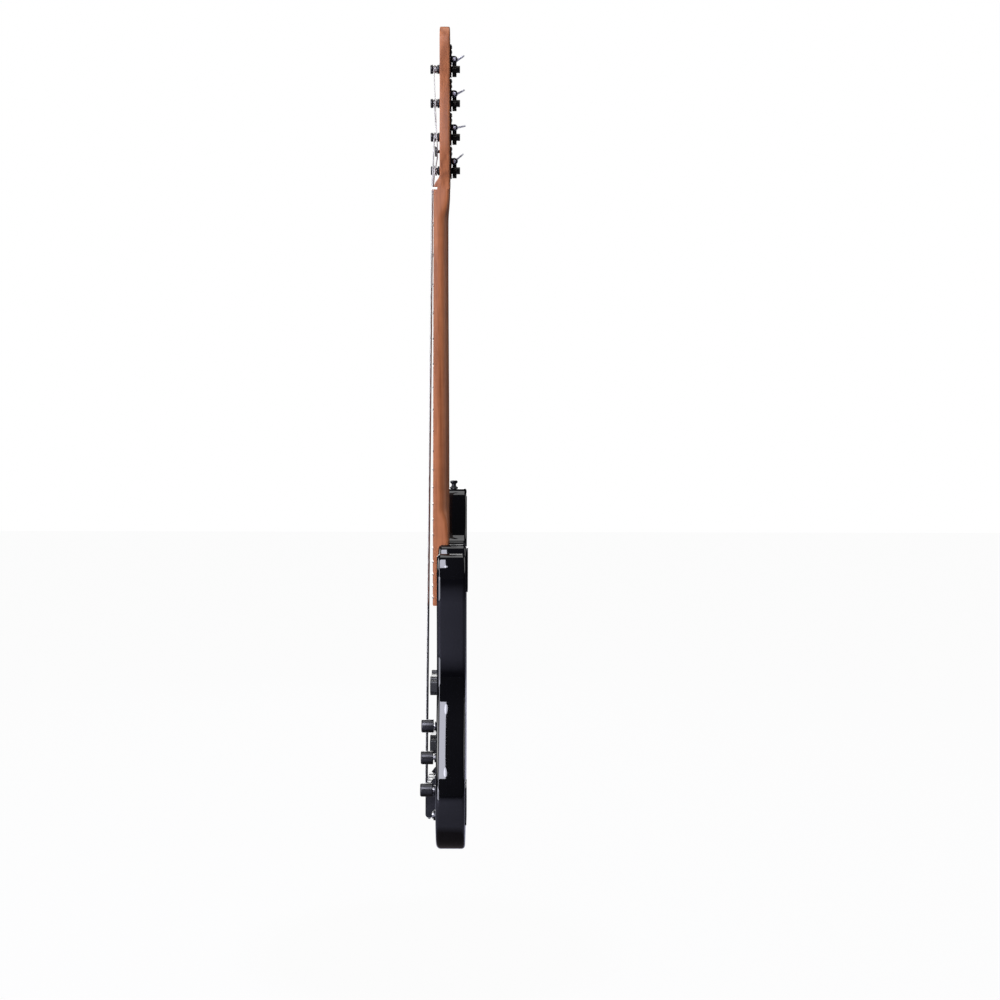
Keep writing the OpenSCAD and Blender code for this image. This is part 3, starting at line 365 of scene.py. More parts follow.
def make_materials():
    return {
        "black_gloss": lacquer(),
        "roasted_maple": maple("roasted_maple", 1.0),
        "roasted_maple_board": maple("roasted_maple_board", 4.0),
        "black_plastic": moulded(),
        "black_steel": plated("black_steel"),
        "black_bridge": plated("black_bridge", (0.02, 0.02, 0.023), 0.34, (1.0, 0.3, 0.3), 500.0),
        "knob_black": plated("knob_black", (0.022, 0.022, 0.024), 0.3, (1.0, 0.05, 1.0), 700.0),
        "fret_wire": bright_metal("fret_wire", (0.72, 0.71, 0.68), 0.2, 700.0, (0.2, 1.0, 1.0)),
        "pearloid": pearl("pearloid", (0.82, 0.8, 0.75), (0.62, 0.6, 0.56), 0.22),
        "bone": pearl("bone", (0.78, 0.73, 0.62), (0.66, 0.6, 0.48), 0.34),
        "steel": bright_metal("steel", (0.56, 0.56, 0.57), 0.28),
        "string_wound": wound(),
        "magnet": bright_metal("magnet", (0.34, 0.33, 0.32), 0.42, 500.0, (1.0, 1.0, 1.0)),
        "copper_wire": bright_metal("copper_wire", (0.3, 0.1, 0.04), 0.35, 1400.0,
                                    (1.0, 0.05, 1.0)),
        "foam": soft("foam", (0.05, 0.05, 0.055), (0.02, 0.02, 0.022), 900.0),
        "gear_bronze": bright_metal("gear_bronze", (0.024, 0.022, 0.019), 0.36, 900.0,
                                    (1.0, 1.0, 1.0)),
        "key_satin": bright_metal("key_satin", (0.74, 0.74, 0.82), 0.6, 700.0, (1.0, 1.0, 1.0)),
        "battery_case": plated("battery_case", (0.09, 0.09, 0.1), 0.36),
        "capacitor": pearl("capacitor", (0.45, 0.14, 0.045), (0.36, 0.1, 0.03), 0.25),
        "wire_cloth": soft("wire_cloth", (0.7, 0.66, 0.55), (0.5, 0.46, 0.36), 1200.0),
        "felt": soft("felt", (0.03, 0.03, 0.031), (0.012, 0.012, 0.013), 1500.0),
    }



# ---- Making pieces ----

def smooth_by_angle(mesh, degrees=35.0):
    for polygon in mesh.polygons:
        polygon.use_smooth = True
    mesh.set_sharp_from_angle(angle=math.radians(degrees))


def add_piece(name, source, node, angle=35.0):
    """A visible piece from a bmesh: it stands for the CAD node, with its body and its slot."""
    mesh = bpy.data.meshes.new(name)
    source.to_mesh(mesh)
    source.free()
    smooth_by_angle(mesh, angle)
    piece = bpy.data.objects.new(name, mesh)
    bpy.context.scene.collection.objects.link(piece)
    mesh.materials.append(MATERIALS[SLOT_OF[node]])
    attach(piece, BODY_OF[node])
    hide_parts(node)
    return piece


def apply_modifiers(piece):
    bpy.context.view_layer.update()
    graph = bpy.context.evaluated_depsgraph_get()
    mesh = bpy.data.meshes.new_from_object(piece.evaluated_get(graph), depsgraph=graph)
    old = piece.data
    piece.modifiers.clear()
    piece.data = mesh
    bpy.data.meshes.remove(old)


def bevel(piece, width, segments=2, angle=38.0):
    modifier = piece.modifiers.new("bevel", "BEVEL")
    modifier.width = width
    modifier.segments = segments
    modifier.limit_method = "ANGLE"
    modifier.angle_limit = math.radians(angle)
    modifier.use_clamp_overlap = True
    modifier.harden_normals = True
    apply_modifiers(piece)


def copy_of(node):
    """The CAD node's mesh as a bmesh, welded and with its flat faces whole again."""
    shape = bmesh.new()
    shape.from_mesh(nodes[node].data)
    bmesh.ops.remove_doubles(shape, verts=shape.verts, dist=0.000004)
    bmesh.ops.dissolve_limit(shape, angle_limit=math.radians(0.6), verts=shape.verts,
                             edges=shape.edges)
    return shape


def refined(node, width):
    """A CAD node with its sharp edges broken, so that they catch the light."""
    piece = add_piece(node + "_fine", copy_of(node), node)
    bevel(piece, width)
    smooth_by_angle(piece.data, 20.0)


MATERIALS = make_materials()


def dress_frame():
    """Gives every CAD node its material."""
    for node, thing in nodes.items():
        thing.data.materials.clear()
        thing.data.materials.append(MATERIALS[SLOT_OF[node]])


# ---- Body ----

BODY_LOW, BODY_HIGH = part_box("body")
NUT_WIDTH = 42.0 * MM
BOARD_END = -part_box("fingerboard")[0].z
BOARD_END_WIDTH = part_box("fingerboard")[1].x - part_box("fingerboard")[0].x
BOARD_THICK = 6.0 * MM
HEEL_BACK = 24.0 * MM                        # floor of the neck pocket
BODY_OUTLINE = [
    (22, -513.5), (35, -518), (41.5, -532), (43, -553), (49, -574), (60, -582), (70, -573),
    (78, -552), (86, -532.5), (98, -523.5), (110, -527), (118, -547), (117, -585), (108, -630),
    (102, -675), (105, -716), (121, -760), (146, -805), (160, -846), (156, -887), (135, -919),
    (98, -936), (50, -941.7), (0, -942.4), (-70, -933), (-125, -907), (-162, -864), (-176, -811),
    (-169, -756), (-147, -706), (-126, -655), (-120, -605), (-127, -552), (-134, -500),
    (-133, -463), (-123, -443), (-107, -436), (-92, -440), (-82, -454), (-75, -476), (-67, -498),
    (-56, -512.5), (-43, -517.5), (-28, -515.5), (0, -513.5)]


def half_width(below):
    """Half the neck's width at a distance below the nut."""
    return (NUT_WIDTH + (BOARD_END_WIDTH - NUT_WIDTH) * below / BOARD_END) / 2.0


def smooth_loop(points, steps):
    """Closed smooth line through points given in millimetres."""
    loop = []
    count = len(points)
    for i in range(count):
        a, b, c, d = (Vector(points[(i + k) % count]) * MM for k in (-1, 0, 1, 2))
        for k in range(steps):
            t = k / steps
            loop.append(0.5 * (2 * b + (c - a) * t + (2 * a - 5 * b + 4 * c - d) * t * t
                               + (3 * b - a - 3 * c + d) * t * t * t))
    return loop


def inward(loop):
    """Unit vectors pointing into a loop that runs clockwise seen from the front."""
    count = len(loop)
    result = []
    for i in range(count):
        d = (loop[(i + 1) % count] - loop[i - 1]).normalized()
        result.append(Vector((d.y, -d.x)))
    return result


def rounded_slab(loop, front, back, front_edge, back_edge, steps):
    """Slab between two Y planes with an outline in X and Z, its two rims rounded."""
    shape = bmesh.new()
    into = inward(loop)
    margin = 0.4 * MM
    section = [(front_edge + margin, front)]
    for k in range(steps + 1):
        a = math.pi / 2 * k / steps
        section.append((front_edge * (1 - math.sin(a)), front + front_edge * (1 - math.cos(a))))
    for k in range(steps, -1, -1):
        a = math.pi / 2 * k / steps
        section.append((back_edge * (1 - math.sin(a)), back - back_edge * (1 - math.cos(a))))
    section.append((back_edge + margin, back))
    rings = [[shape.verts.new((p.x + q.x * r, y, p.y + q.y * r)) for p, q in zip(loop, into)]
             for r, y in section]
    count = len(loop)
    for a, b in zip(rings, rings[1:]):
        for i in range(count):
            k = (i + 1) % count
            shape.faces.new((a[i], b[i], b[k], a[k]))
    shape.faces.new(rings[0])
    shape.faces.new(rings[-1][::-1])
    bmesh.ops.recalc_face_normals(shape, faces=shape.faces)
    return shape


def prism(outline, front, back):
    """Plain slab between two Y planes; outline is a list of X and Z pairs in metres."""
    shape = bmesh.new()
    a = [shape.verts.new((x, front, z)) for x, z in outline]
    b = [shape.verts.new((x, back, z)) for x, z in outline]
    count = len(a)
    for i in range(count):
        k = (i + 1) % count
        shape.faces.new((a[i], b[i], b[k], a[k]))
    shape.faces.new(a)
    shape.faces.new(b[::-1])
    bmesh.ops.recalc_face_normals(shape, faces=shape.faces)
    return shape


def loose_object(name, shape):
    mesh = bpy.data.meshes.new(name)
    shape.to_mesh(mesh)
    shape.free()
    thing = bpy.data.objects.new(name, mesh)
    bpy.context.scene.collection.objects.link(thing)
    return thing


def cut(piece, *tools):
    """Takes the tools' volumes out of the piece and throws the tools away."""
    for tool in tools:
        modifier = piece.modifiers.new("cut", "BOOLEAN")
        modifier.operation = "DIFFERENCE"
        modifier.solver = "EXACT"
        modifier.object = tool
    apply_modifiers(piece)
    for tool in tools:
        bpy.data.objects.remove(tool)


def stadium(cx, cz, w, h, r, steps=8):
    """Outline of a rectangle with round corners, as X and Z pairs."""
    points = []
    for sx, sz, start in ((1, 1, 0), (-1, 1, 90), (-1, -1, 180), (1, -1, 270)):
        for k in range(steps + 1):
            a = math.radians(start + 90.0 * k / steps)
            points.append((cx + sx * (w / 2 - r) + r * math.cos(a),
                           cz + sz * (h / 2 - r) + r * math.sin(a)))
    return points


def pickup_cutter(cover):
    """Cavity round a pickup cover: a straight box and the four ears."""
    low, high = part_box(cover)
    cx, cz = (low.x + high.x) / 2, (low.z + high.z) / 2
    room = 0.6 * MM
    front, back = BODY_LOW.y - 5 * MM, BODY_LOW.y + 18 * MM
    width = high.x - low.x
    straight = stadium(cx, cz, width + 2 * room, 18.4 * MM + 2 * room, 4.4 * MM)
    tools = [loose_object("cavity", prism(straight, front, back))]
    for side in (-1, 1):
        ear_x = cx + side * (width / 2 - 13 * MM)
        ear = stadium(ear_x, cz, 9 * MM + 2 * room, 27 * MM + 2 * room, 4.8 * MM)
        tools.append(loose_object("ear", prism(ear, front, back + 0.3 * MM)))
    return tools


def cavity_outline(margin):
    """Outline round the control cavity: two round ends and their common tangents, in metres."""
    top, low = Vector((64, -776)) * MM, Vector((105, -872)) * MM
    r_top, r_low = (30 - margin) * MM, (32 - margin) * MM
    run = low - top
    lean = math.atan2(run.y, run.x)
    half_turn = math.acos((r_top - r_low) / run.length)
    ends = [(top, r_top, lean + half_turn, lean + 2 * math.pi - half_turn),
            (low, r_low, lean - half_turn, lean + half_turn)]
    return [(c.x + r * math.cos(a + (b - a) * k / 32), c.y + r * math.sin(a + (b - a) * k / 32))
            for c, r, a, b in ends for k in range(33)]


def build_body():
    loop = smooth_loop(BODY_OUTLINE, 12)
    loop = [p + q * 0.15 * MM for p, q in zip(loop, inward(loop))]
    shape = rounded_slab(loop, BODY_LOW.y, BODY_HIGH.y, 6.0 * MM, 4.8 * MM, 10)
    piece = add_piece("body_shell", shape, "body")
    room = 0.15 * MM
    top = -490 * MM                              # well clear of the body's top edge
    wide, narrow = half_width(BOARD_END) + room, half_width(-top) + room
    low = -BOARD_END - room
    pocket = prism([(-wide, low), (wide, low), (narrow, top), (-narrow, top)],
                   BODY_LOW.y - 10 * MM, HEEL_BACK)
    back = BODY_HIGH.y
    battery_room = stadium(18 * MM, -893 * MM, 50 * MM, 29 * MM, 3 * MM)
    cut(piece, loose_object("pocket", pocket), *pickup_cutter("front_pickup_cover"),
        *pickup_cutter("rear_pickup_cover"),
        loose_object("cavity", prism(cavity_outline(8.0), 14.7 * MM, back + MM)),
        loose_object("recess", prism(cavity_outline(-0.2), back - 2.05 * MM, back + MM)),
        loose_object("battery_room", prism(battery_room, 30.7 * MM, back + MM)))
    smooth_by_angle(piece.data, 30.0)


# ---- Neck, fingerboard, frets ----

SCALE = 864.0                                # string length, in millimetres
HEAD_FACE = 9.5 * MM
HEAD_BACK = 24.0 * MM


def ease(x, a, b):
    t = min(1.0, max(0.0, (x - a) / (b - a)))
    return t * t * (3 - 2 * t)


def bezier(a, b, c, d, steps=14):
    """Cubic curve in millimetres, without its last point, in metres."""
    points = []
    for k in range(steps):
        t = k / steps
        s = 1 - t
        points.append(tuple(
            MM * (s ** 3 * a[i] + 3 * s * s * t * b[i] + 3 * s * t * t * c[i] + t ** 3 * d[i])
            for i in (0, 1)))
    return points


def head_outline():
    """The headstock's outline, from the nut's bass end round to its treble end, in metres."""
    chain = [((-21, 0), (-22, 11), (-39, 3), (-43, 20)),
             ((-43, 20), (-30.3, 84), (-17.7, 148), (-5, 212)),
             ((-5, 212), (-1, 230), (10, 234), (23, 234)),
             ((23, 234), (42, 234), (52, 221), (49, 203)),
             ((49, 203), (46, 178), (37, 160), (36, 122)),
             ((36, 122), (35, 84), (41, 62), (33, 37)),
             ((33, 37), (28, 22), (21.5, 18), (21, 0))]
    points = []
    for link in chain:
        points += bezier(*link)
    return points + [(21 * MM, 0.0)]


def neck_ring(z):
    """Section of the neck at height z: flat front, round back, square at the heel and head."""
    squareness = 2.2 + 9 * ease(-z, 0.462, 0.510) + 7 * ease(z, -0.044, 0.0)
    half = half_width(max(0.0, -z))
    front = BOARD_THICK + (HEAD_FACE + MM - BOARD_THICK) * ease(z, 0.004, 0.020)
    back = 22 * MM + 2 * MM * max(ease(-z, 0.06, 0.44), ease(z, -0.044, -0.002))
    ring = []
    for k in range(49):
        t = math.pi * k / 48
        c, s = math.cos(t), max(0.0, math.sin(t))
        x = math.copysign(abs(c) ** (2 / squareness), c) * half
        ring.append((x, front + s ** (2 / squareness) * (back - front), z))
    return ring


def loft_rings(rings):
    """Skin through rings of points of equal length, with both ends capped."""
    shape = bmesh.new()
    rows = [[shape.verts.new(p) for p in ring] for ring in rings]
    count = len(rows[0])
    for a, b in zip(rows, rows[1:]):
        for i in range(count):
            k = (i + 1) % count
            shape.faces.new((a[i], a[k], b[k], b[i]))
    shape.faces.new(rows[0][::-1])
    shape.faces.new(rows[-1])
    bmesh.ops.recalc_face_normals(shape, faces=shape.faces)
    return shape


def joined(*shapes):
    """One bmesh holding all the given ones."""
    whole = shapes[0]
    for extra in shapes[1:]:
        mesh = bpy.data.meshes.new("part")
        extra.to_mesh(mesh)
        extra.free()
        whole.from_mesh(mesh)
        bpy.data.meshes.remove(mesh)
    return whole


def carve(piece, voxel, rounds):
    """Fuses overlapping shells into one skin with soft edges, like sanded wood or cast metal."""
    remesh = piece.modifiers.new("fuse", "REMESH")
    remesh.mode = "VOXEL"
    remesh.voxel_size = voxel
    remesh.use_smooth_shade = True
    soften = piece.modifiers.new("soften", "SMOOTH")
    soften.factor = 0.5
    soften.iterations = rounds
    apply_modifiers(piece)
    for polygon in piece.data.polygons:
        polygon.use_smooth = True


def build_neck():
    heights = [-BOARD_END + k * (BOARD_END + 24 * MM) / 120 for k in range(121)]
    shaft = loft_rings([neck_ring(z) for z in heights])
    edge = 1.6 * MM
    head = rounded_slab([Vector(p) for p in head_outline()], HEAD_FACE, HEAD_BACK, edge, edge, 4)
    slope = [(12, 25), (12, 3.4), (1.2, 3.4)]
    slope = [(y * MM, z * MM) for y, z in slope]
    slope += bezier((1.2, 5.4), (3.2, 14), (9.5, 14), (9.5, 25))
    hump = loft_rings([[(x, y, z) for y, z in slope] for x in (-NUT_WIDTH / 2, NUT_WIDTH / 2)])
    inset = 0.25 * MM
    seat = loft_rings([[(-half_width(-z) + inset, 3 * MM, z), (half_width(-z) - inset, 3 * MM, z),
                        (half_width(-z) - inset, 8 * MM, z), (-half_width(-z) + inset, 8 * MM, z)]
                       for z in (-BOARD_END + inset, -0.1 * MM)])
    piece = add_piece("neck_carved", joined(shaft, head, hump, seat), "neck")
    carve(piece, 0.9 * MM, 3)


BOARD_RADIUS = 254 * MM


def board_section(half):
    """Points of the board's section at half width: curved front with rolled edges, flat back."""
    roll = 1.0 * MM
    points = []
    for k in range(25):
        x = -half + roll + (2 * half - 2 * roll) * k / 24
        points.append((x, x * x / (2 * BOARD_RADIUS)))
    edge = (half - roll) ** 2 / (2 * BOARD_RADIUS)
    right = [(half - roll + roll * math.sin(a), edge + roll * (1 - math.cos(a)))
             for a in (0.3, 0.6, 0.9, 1.2, math.pi / 2)]
    left = [(-x, y) for x, y in right[::-1]]
    return left + points + right + [(half, BOARD_THICK), (-half, BOARD_THICK)]


def build_board():
    rings = []
    for k in range(41):
        z = -BOARD_END * k / 40
        rings.append([(x, y, z) for x, y in board_section(half_width(-z))])
    add_piece("board", loft_rings(rings), "fingerboard")


def build_frets():
    """Each fret: a round crown that follows the board's curve, its ends filed to a slope."""
    shapes = []
    for n in range(1, 21):
        z0 = -SCALE * MM * (1 - 2 ** (-n / 12))
        half = half_width(-z0) - 0.35 * MM
        rings = []
        for k in range(29):
            t = -1 + 2 * k / 28
            x = half * math.copysign(abs(t) ** 0.8, t)
            rest = half - abs(x)
            tall = 1.1 * MM * min(1.0, 0.25 + rest / (1.1 * MM))
            base = x * x / (2 * BOARD_RADIUS) + 0.05 * MM
            ring = []
            for j in range(9):
                a = math.pi * j / 8
                ring.append((x, base - tall * math.sin(a), z0 + 1.3 * MM * math.cos(a)))
            rings.append(ring)
        shapes.append(loft_rings(rings))
    add_piece("fret_crowns", joined(*shapes), "frets", angle=50.0)


# ---- Strings ----

# In millimetres, the thickest string first
ROW_ANGLE = math.radians(11.7)               # lean of the row of posts
POST_PITCH = 48.4
GAUGES = [2.65, 2.05, 1.5, 1.15]
TURNS = [1, 1.5, 2.5, 3]
NUT_Y = [-2.2, -2.35, -2.05, -1.45]          # centre lines of the strings over the nut
SADDLE_Y = -9                                # and over the saddles
BRIDGE_HOLE_Y = -3.5                         # and through the bridge's back wall
WIND_INSIDE = 4.75                           # inner radius of the turns round a post
WIND_MIDDLE = 2.3                            # middle of those turns along Y


def post_place(i):
    """Centre of post i in X and Z, in millimetres."""
    run = i * POST_PITCH
    return Vector((-22 + run * math.sin(ROW_ANGLE), 35.3 + run * math.cos(ROW_ANGLE)))


def string_x(i, z):
    """Place across the neck of string i at height z, in millimetres."""
    return (i - 1.5) * (32 / 3 - (19 - 32 / 3) * z / SCALE)


def string_route(i):
    """The string's centre line from the bridge's back wall to its last turn round the post."""
    r = GAUGES[i] / 2
    saddle_x, nut_x = string_x(i, -SCALE), string_x(i, 0)
    wind_r = WIND_INSIDE + r
    centre = post_place(i)
    away = centre - Vector((nut_x, 0))
    reach = math.sqrt(away.length_squared - wind_r ** 2)
    heading = math.atan2(away.y, away.x) - math.asin(wind_r / away.length)
    touch = Vector((nut_x, 0)) + reach * Vector((math.cos(heading), math.sin(heading)))
    start = math.atan2(touch.y - centre.y, touch.x - centre.x)
    rise = GAUGES[i] * 1.06
    top = WIND_MIDDLE - TURNS[i] * rise / 2
    steps = 40
    route = [(saddle_x, BRIDGE_HOLE_Y, -907.5), (saddle_x, BRIDGE_HOLE_Y, -900),
             (saddle_x, -8.5, -868), (saddle_x, -8.9, -865.5), (saddle_x, SADDLE_Y, -SCALE),
             (saddle_x + (nut_x - saddle_x) * 0.005, -8.95, -859.7)]
    for k in range(1, 40):
        t = k / 40
        y = SADDLE_Y + (NUT_Y[i] - SADDLE_Y) * t
        route.append((saddle_x + (nut_x - saddle_x) * t, y, -SCALE * (1 - t)))
    route += [(nut_x, NUT_Y[i], z) for z in (-1, 1.5, 3.4)]
    if i > 1:
        for z in (49.4, 57, 64.6):
            route.append((nut_x + z / math.tan(heading), 4.9 + r, z))
    for k in range(int(TURNS[i] * steps) + 1):
        a = start + 2 * math.pi * k / steps
        route.append((centre.x + wind_r * math.cos(a), top + rise * k / steps,
                      centre.y + wind_r * math.sin(a)))
    return [Vector(p) * MM for p in route]


def sweep(points, radius, sides=16):
    """Round bar along a line of points; the section is carried along without twisting."""
    rings = []
    last = len(points) - 1
    normal = Vector((1, 0, 0))
    for i, p in enumerate(points):
        along = (points[min(last, i + 1)] - points[max(0, i - 1)]).normalized()
        normal = (normal - along * normal.dot(along)).normalized()
        across = along.cross(normal)
        turns = [2 * math.pi * k / sides for k in range(sides)]
        rings.append([p + radius * (math.cos(a) * normal + math.sin(a) * across) for a in turns])
    return loft_rings(rings)


def lathe(profile, segments=64):
    """Solid of revolution about Z from pairs of radius and height; a radius of 0 closes an end."""
    shape = bmesh.new()
    rows = []
    for r, h in profile:
        if r == 0:
            rows.append([shape.verts.new((0, 0, h))])
        else:
            turns = [2 * math.pi * k / segments for k in range(segments)]
            rows.append([shape.verts.new((r * math.cos(a), r * math.sin(a), h)) for a in turns])
    for a, b in zip(rows, rows[1:]):
        for k in range(segments):
            n = (k + 1) % segments
            face = [a[k % len(a)], a[n % len(a)], b[n % len(b)], b[k % len(b)]]
            unique = [v for j, v in enumerate(face) if v not in face[:j]]
            if len(unique) > 2:
                shape.faces.new(unique)
    if len(rows[0]) > 1 and len(rows[-1]) > 1 and profile[0] == profile[-1]:
        bmesh.ops.remove_doubles(shape, verts=shape.verts, dist=1e-7)
    bmesh.ops.recalc_face_normals(shape, faces=shape.faces)
    return shape


def placed(shape, matrix):
    bmesh.ops.transform(shape, matrix=matrix, verts=shape.verts)
    return shape


ALONG_BACK = Matrix.Rotation(math.radians(-90), 4, "X")   # turns Z into +Y


def tuner_frame(i):
    """Local axes of tuner i: origin on the post's axis, Z along the row, as in the CAD part."""
    place = post_place(i) * MM
    return Matrix.Translation((place.x, 0, place.y)) @ Matrix.Rotation(ROW_ANGLE, 4, "Y")


BALL_END = [(1.1, -2), (2.3, -2), (2.4, -1.8), (2.4, 1.8), (2.3, 2), (1.1, 2), (1.1, -2)]
BALL_Z = -908.45                             # behind the bridge's back wall


def build_strings():
    for i, name in enumerate(STRINGS):
        r = GAUGES[i] / 2 * MM
        route = string_route(i)
        ball = lathe([(a * MM, h * MM) for a, h in BALL_END], 40)
        behind = Matrix.Translation((route[0].x, route[0].y, BALL_Z * MM))
        placed(ball, behind @ Matrix.Rotation(math.pi / 2, 4, "Y"))
        shape = joined(sweep(route, r), ball)
        add_piece("string_line_" + name, shape, "string_" + name, angle=50.0)


# ---- Tuners ----

GEAR_Y = 30.3
WORM_Z = 14.0
KEY_ANGLES = [40, 12, 27, 31]                # how each key stands at rest, in degrees

# Turned shapes, as pairs of radius and height in millimetres
POST_PROFILE = [
    (0, -4.7), (5.9, -4.7), (6.4, -4.55), (6.6, -4.1), (6.6, -1.35), (6.4, -1.0), (5.6, -0.9),
    (4.7, -0.7), (4.5, -0.3), (4.5, 4.6), (4.7, 5.0), (5.6, 5.2), (6.4, 5.3), (6.6, 5.65),
    (6.6, 7.6), (6.4, 8.0), (4.7, 8.0), (4.7, 27.3), (3.5, 27.4), (3.5, 33.3), (0, 33.3)]
FERRULE_PROFILE = [
    (4.75, 8.6), (5.0, 8.3), (7.9, 8.3), (8.5, 8.45), (8.8, 8.9), (8.8, 9.5), (6.95, 9.5),
    (6.95, 24), (4.75, 24), (4.75, 8.6)]
KEY_SHAFT_PROFILE = [
    (0, -33), (3.2, -33), (3.6, -32.6), (3.6, -24.2), (3.2, -24), (3.2, -23.4), (3.6, -23.2),
    (3.6, -11.4), (3.2, -11), (2.5, -11), (2.5, -7.3), (2.9, -7.3), (2.9, 7.3), (2.5, 7.3),
    (2.5, 10.7), (2.1, 11), (0, 11)]
KEY_STEM_PROFILE = [
    (0, -44), (1.6, -43), (2.2, -38), (3.3, -34), (3.6, -32), (3.6, -28), (0, -28)]


def build_posts():
    """String posts: cap with a slot, groove for the winding, shaft through the headstock."""
    for i, name in enumerate(STRINGS):
        shape = lathe([(r * MM, h * MM) for r, h in POST_PROFILE], 72)
        placed(shape, tuner_frame(i) @ ALONG_BACK)
        piece = add_piece("post_turned_" + name, shape, "tuner_post_" + name)
        slot = prism([(x * MM, z * MM) for x, z in ((-1.4, -9), (1.4, -9), (1.4, 9), (-1.4, 9))],
                     -6 * MM, -2.5 * MM)
        hole = lathe([(0, -6 * MM), (1.4 * MM, -6 * MM), (1.4 * MM, 4 * MM), (0, 4 * MM)], 32)
        placed(slot, tuner_frame(i))
        placed(hole, tuner_frame(i) @ ALONG_BACK)
        cut(piece, loose_object("slot", slot), loose_object("hole", hole))
        bevel(piece, 0.22 * MM, 2, 50.0)
        smooth_by_angle(piece.data, 40.0)


def build_ferrules():
    shapes = []
    for i in range(4):
        ring = lathe([(r * MM, h * MM) for r, h in FERRULE_PROFILE], 72)
        shapes.append(placed(ring, tuner_frame(i) @ ALONG_BACK))
    add_piece("ferrule_rings", joined(*shapes), "tuner_ferrules", angle=40.0)


def thread_shape():
    """The worm's thread along local X, its height running out towards both ends."""
    pitch = math.pi
    root, tall = 2.6, 2.3
    steps, ends = 48, 96                         # steps in a turn, and from the middle to an end
    rings = []
    for k in range(-ends, ends + 1):
        turn = k / steps
        a = 2 * math.pi * turn
        fade = min(1.0, (ends - abs(k)) / 10 + 0.15)
        top = root + tall * fade
        section = ((0.68, root), (0.34, top - 0.1), (0.24, top), (-0.24, top), (-0.34, top - 0.1),
                   (-0.68, root))
        rings.append([(MM * (pitch * turn + x), -MM * h * math.sin(a), MM * h * math.cos(a))
                      for x, h in section])
    return loft_rings(rings)


def key_blade():
    """Clover key as overlapping shells: three round lobes with raised rims, a web, and the stem."""
    shapes = []
    for x, w, r in ((-45, -8.2, 8.3), (-45, 8.2, 8.3), (-54, 0, 8.4)):
        rim = [(0, -0.85), (r - 2.6, -0.9), (r - 1.3, -1.25), (r - 0.5, -1.15), (r, -0.4), (r, 0.4),
               (r - 0.5, 1.15), (r - 1.3, 1.25), (r - 2.6, 0.9), (0, 0.85)]
        lobe = lathe([(a * MM, h * MM) for a, h in rim], 48)
        shapes.append(placed(lobe, Matrix.Translation((x * MM, w * MM, 0))))
    web = [(-30, -2.4), (-38, -5), (-50, -9), (-56, -5), (-56, 5), (-50, 9), (-38, 5), (-30, 2.4)]
    flat = prism([(x * MM, w * MM) for x, w in web], -1.0 * MM, 1.0 * MM)
    shapes.append(placed(flat, Matrix.Rotation(math.radians(90), 4, "X")))
    stem = lathe([(r * MM, h * MM) for r, h in KEY_STEM_PROFILE], 40)
    shapes.append(placed(stem, Matrix.Rotation(math.radians(90), 4, "Y")))
    return joined(*shapes)


def build_keys():
    """Tuning keys: cast blade and stem, and the turned shaft with its worm."""
    for i, name in enumerate(STRINGS):
        node = "tuning_key_" + name
        hub = tuner_frame(i) @ Matrix.Translation((0, GEAR_Y * MM, WORM_Z * MM))
        turn = Matrix.Rotation(math.radians(KEY_ANGLES[i]), 4, "X")
        blade = add_piece("key_blade_" + name, placed(key_blade(), hub @ turn), node)
        carve(blade, 0.36 * MM, 5)
        shaft = lathe([(r * MM, h * MM) for r, h in KEY_SHAFT_PROFILE], 48)
        placed(shaft, hub @ Matrix.Rotation(math.radians(90), 4, "Y"))
        worm = placed(thread_shape(), hub)
        add_piece("key_shaft_" + name, joined(shaft, worm), node, angle=45.0)


# ---- Controls ----

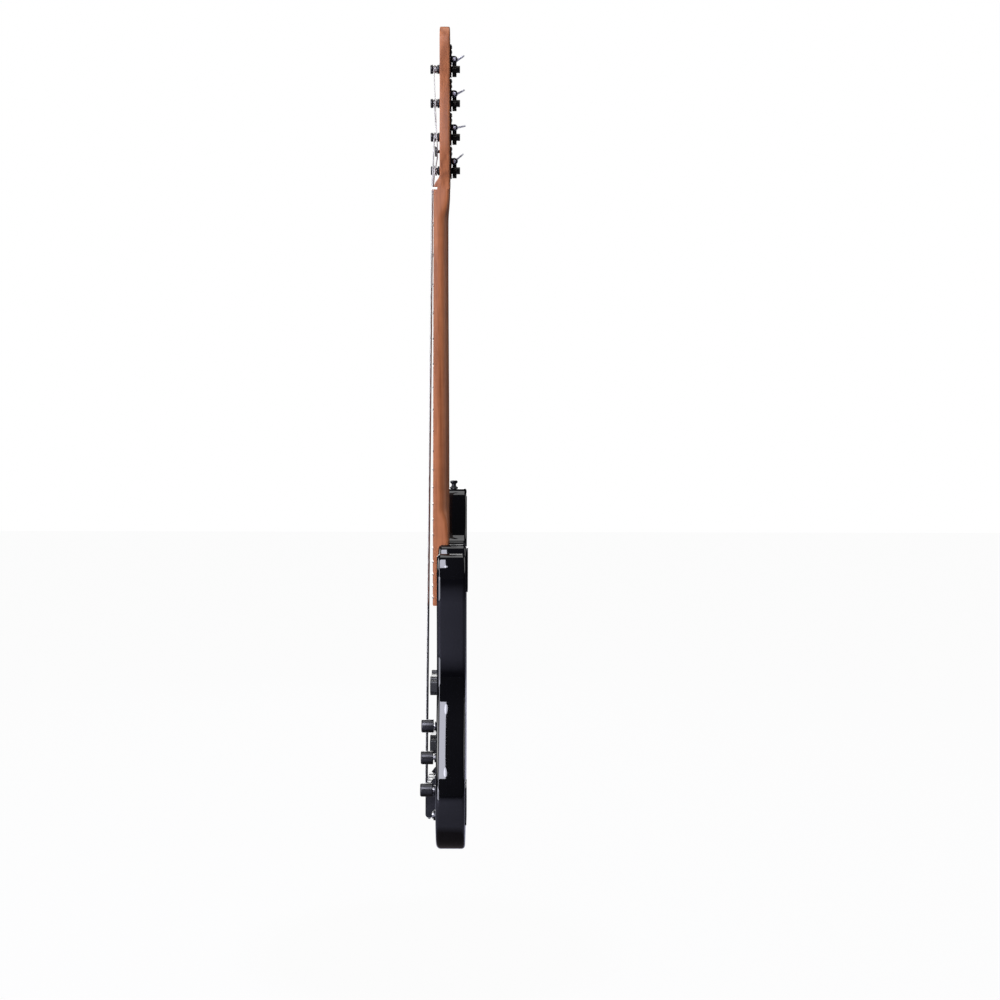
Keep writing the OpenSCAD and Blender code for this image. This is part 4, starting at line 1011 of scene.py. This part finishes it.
def build_knobs():
    """Turned knobs with a bevelled, slightly dished top."""
    for name in CONTROLS:
        node = "knob_" + name
        low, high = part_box(node)
        r = (high.x - low.x) / 2
        tall = high.y - low.y
        bore = 3.02 * MM
        profile = [(0, 0.75 * MM), (r * 0.62, 0.6 * MM), (r * 0.76, 0.25 * MM),
                   (r - 1.7 * MM, 0.05 * MM), (r - 1.2 * MM, 0.1 * MM), (r - 0.35 * MM, 1.0 * MM),
                   (r - 0.05 * MM, 1.6 * MM), (r, 2.2 * MM), (r, tall - 0.6 * MM),
                   (r - 0.4 * MM, tall - 0.1 * MM), (r - 0.8 * MM, tall), (7.4 * MM, tall),
                   (7.4 * MM, tall - 2 * MM), (bore, tall - 2 * MM), (bore, 3 * MM), (0, 3 * MM)]
        centre = Vector(((low.x + high.x) / 2, low.y, (low.z + high.z) / 2))
        shape = placed(lathe(profile, 96), Matrix.Translation(centre) @ ALONG_BACK)
        add_piece("knob_turned_" + name, shape, node, angle=28.0)


def build_strap_buttons():
    """Strap buttons, turned, with the recess for their screws."""
    shapes = []
    profile = [(1.9, 1.8), (5.2, 1.8), (4.4, 2.6), (3.7, 3.8), (3.4, 5.2), (3.6, 6.6), (4.6, 7.7),
               (5.5, 8.5), (5.9, 9.6), (5.8, 10.6), (5.3, 11.4), (4.6, 11.8), (3.9, 11.8),
               (3.7, 11.6), (3.7, 8.8), (1.9, 8.8), (1.9, 1.8)]
    for x, z, lean in ((-107, -436, 4), (0, -942.4, 180)):
        shape = lathe([(r * MM, h * MM) for r, h in profile], 72)
        place = Matrix.Translation((x * MM, 28.7 * MM, z * MM))
        shapes.append(placed(shape, place @ Matrix.Rotation(math.radians(-lean), 4, "Y")))
    add_piece("strap_buttons_turned", joined(*shapes), "strap_buttons", angle=40.0)


# Width of the broken edges, in millimetres, of the pieces that keep their CAD shape
REFINED = {
    "control_cover": 0.4, "battery_cover": 0.4, "neck_plate": 0.5, "nut": 0.35, "string_tree": 0.5,
    "tuner_plates": 0.4, "bridge_base": 0.7, "saddles": 0.4, "front_pickup_cover": 1.0,
    "rear_pickup_cover": 1.0, "pole_magnets": 0.15, "panel_nuts": 0.25, "felt_washers": 0.4,
    "tuner_gear_e": 0.15, "tuner_gear_a": 0.15, "tuner_gear_d": 0.15, "tuner_gear_g": 0.15}


add_camera()
add_lights()
add_floor(floor_paint())
dress_frame()
build_body()
build_neck()
build_board()
build_frets()
build_strings()
build_posts()
build_ferrules()
build_keys()
build_knobs()
build_strap_buttons()
for node_name, edge in REFINED.items():
    refined(node_name, edge * MM)
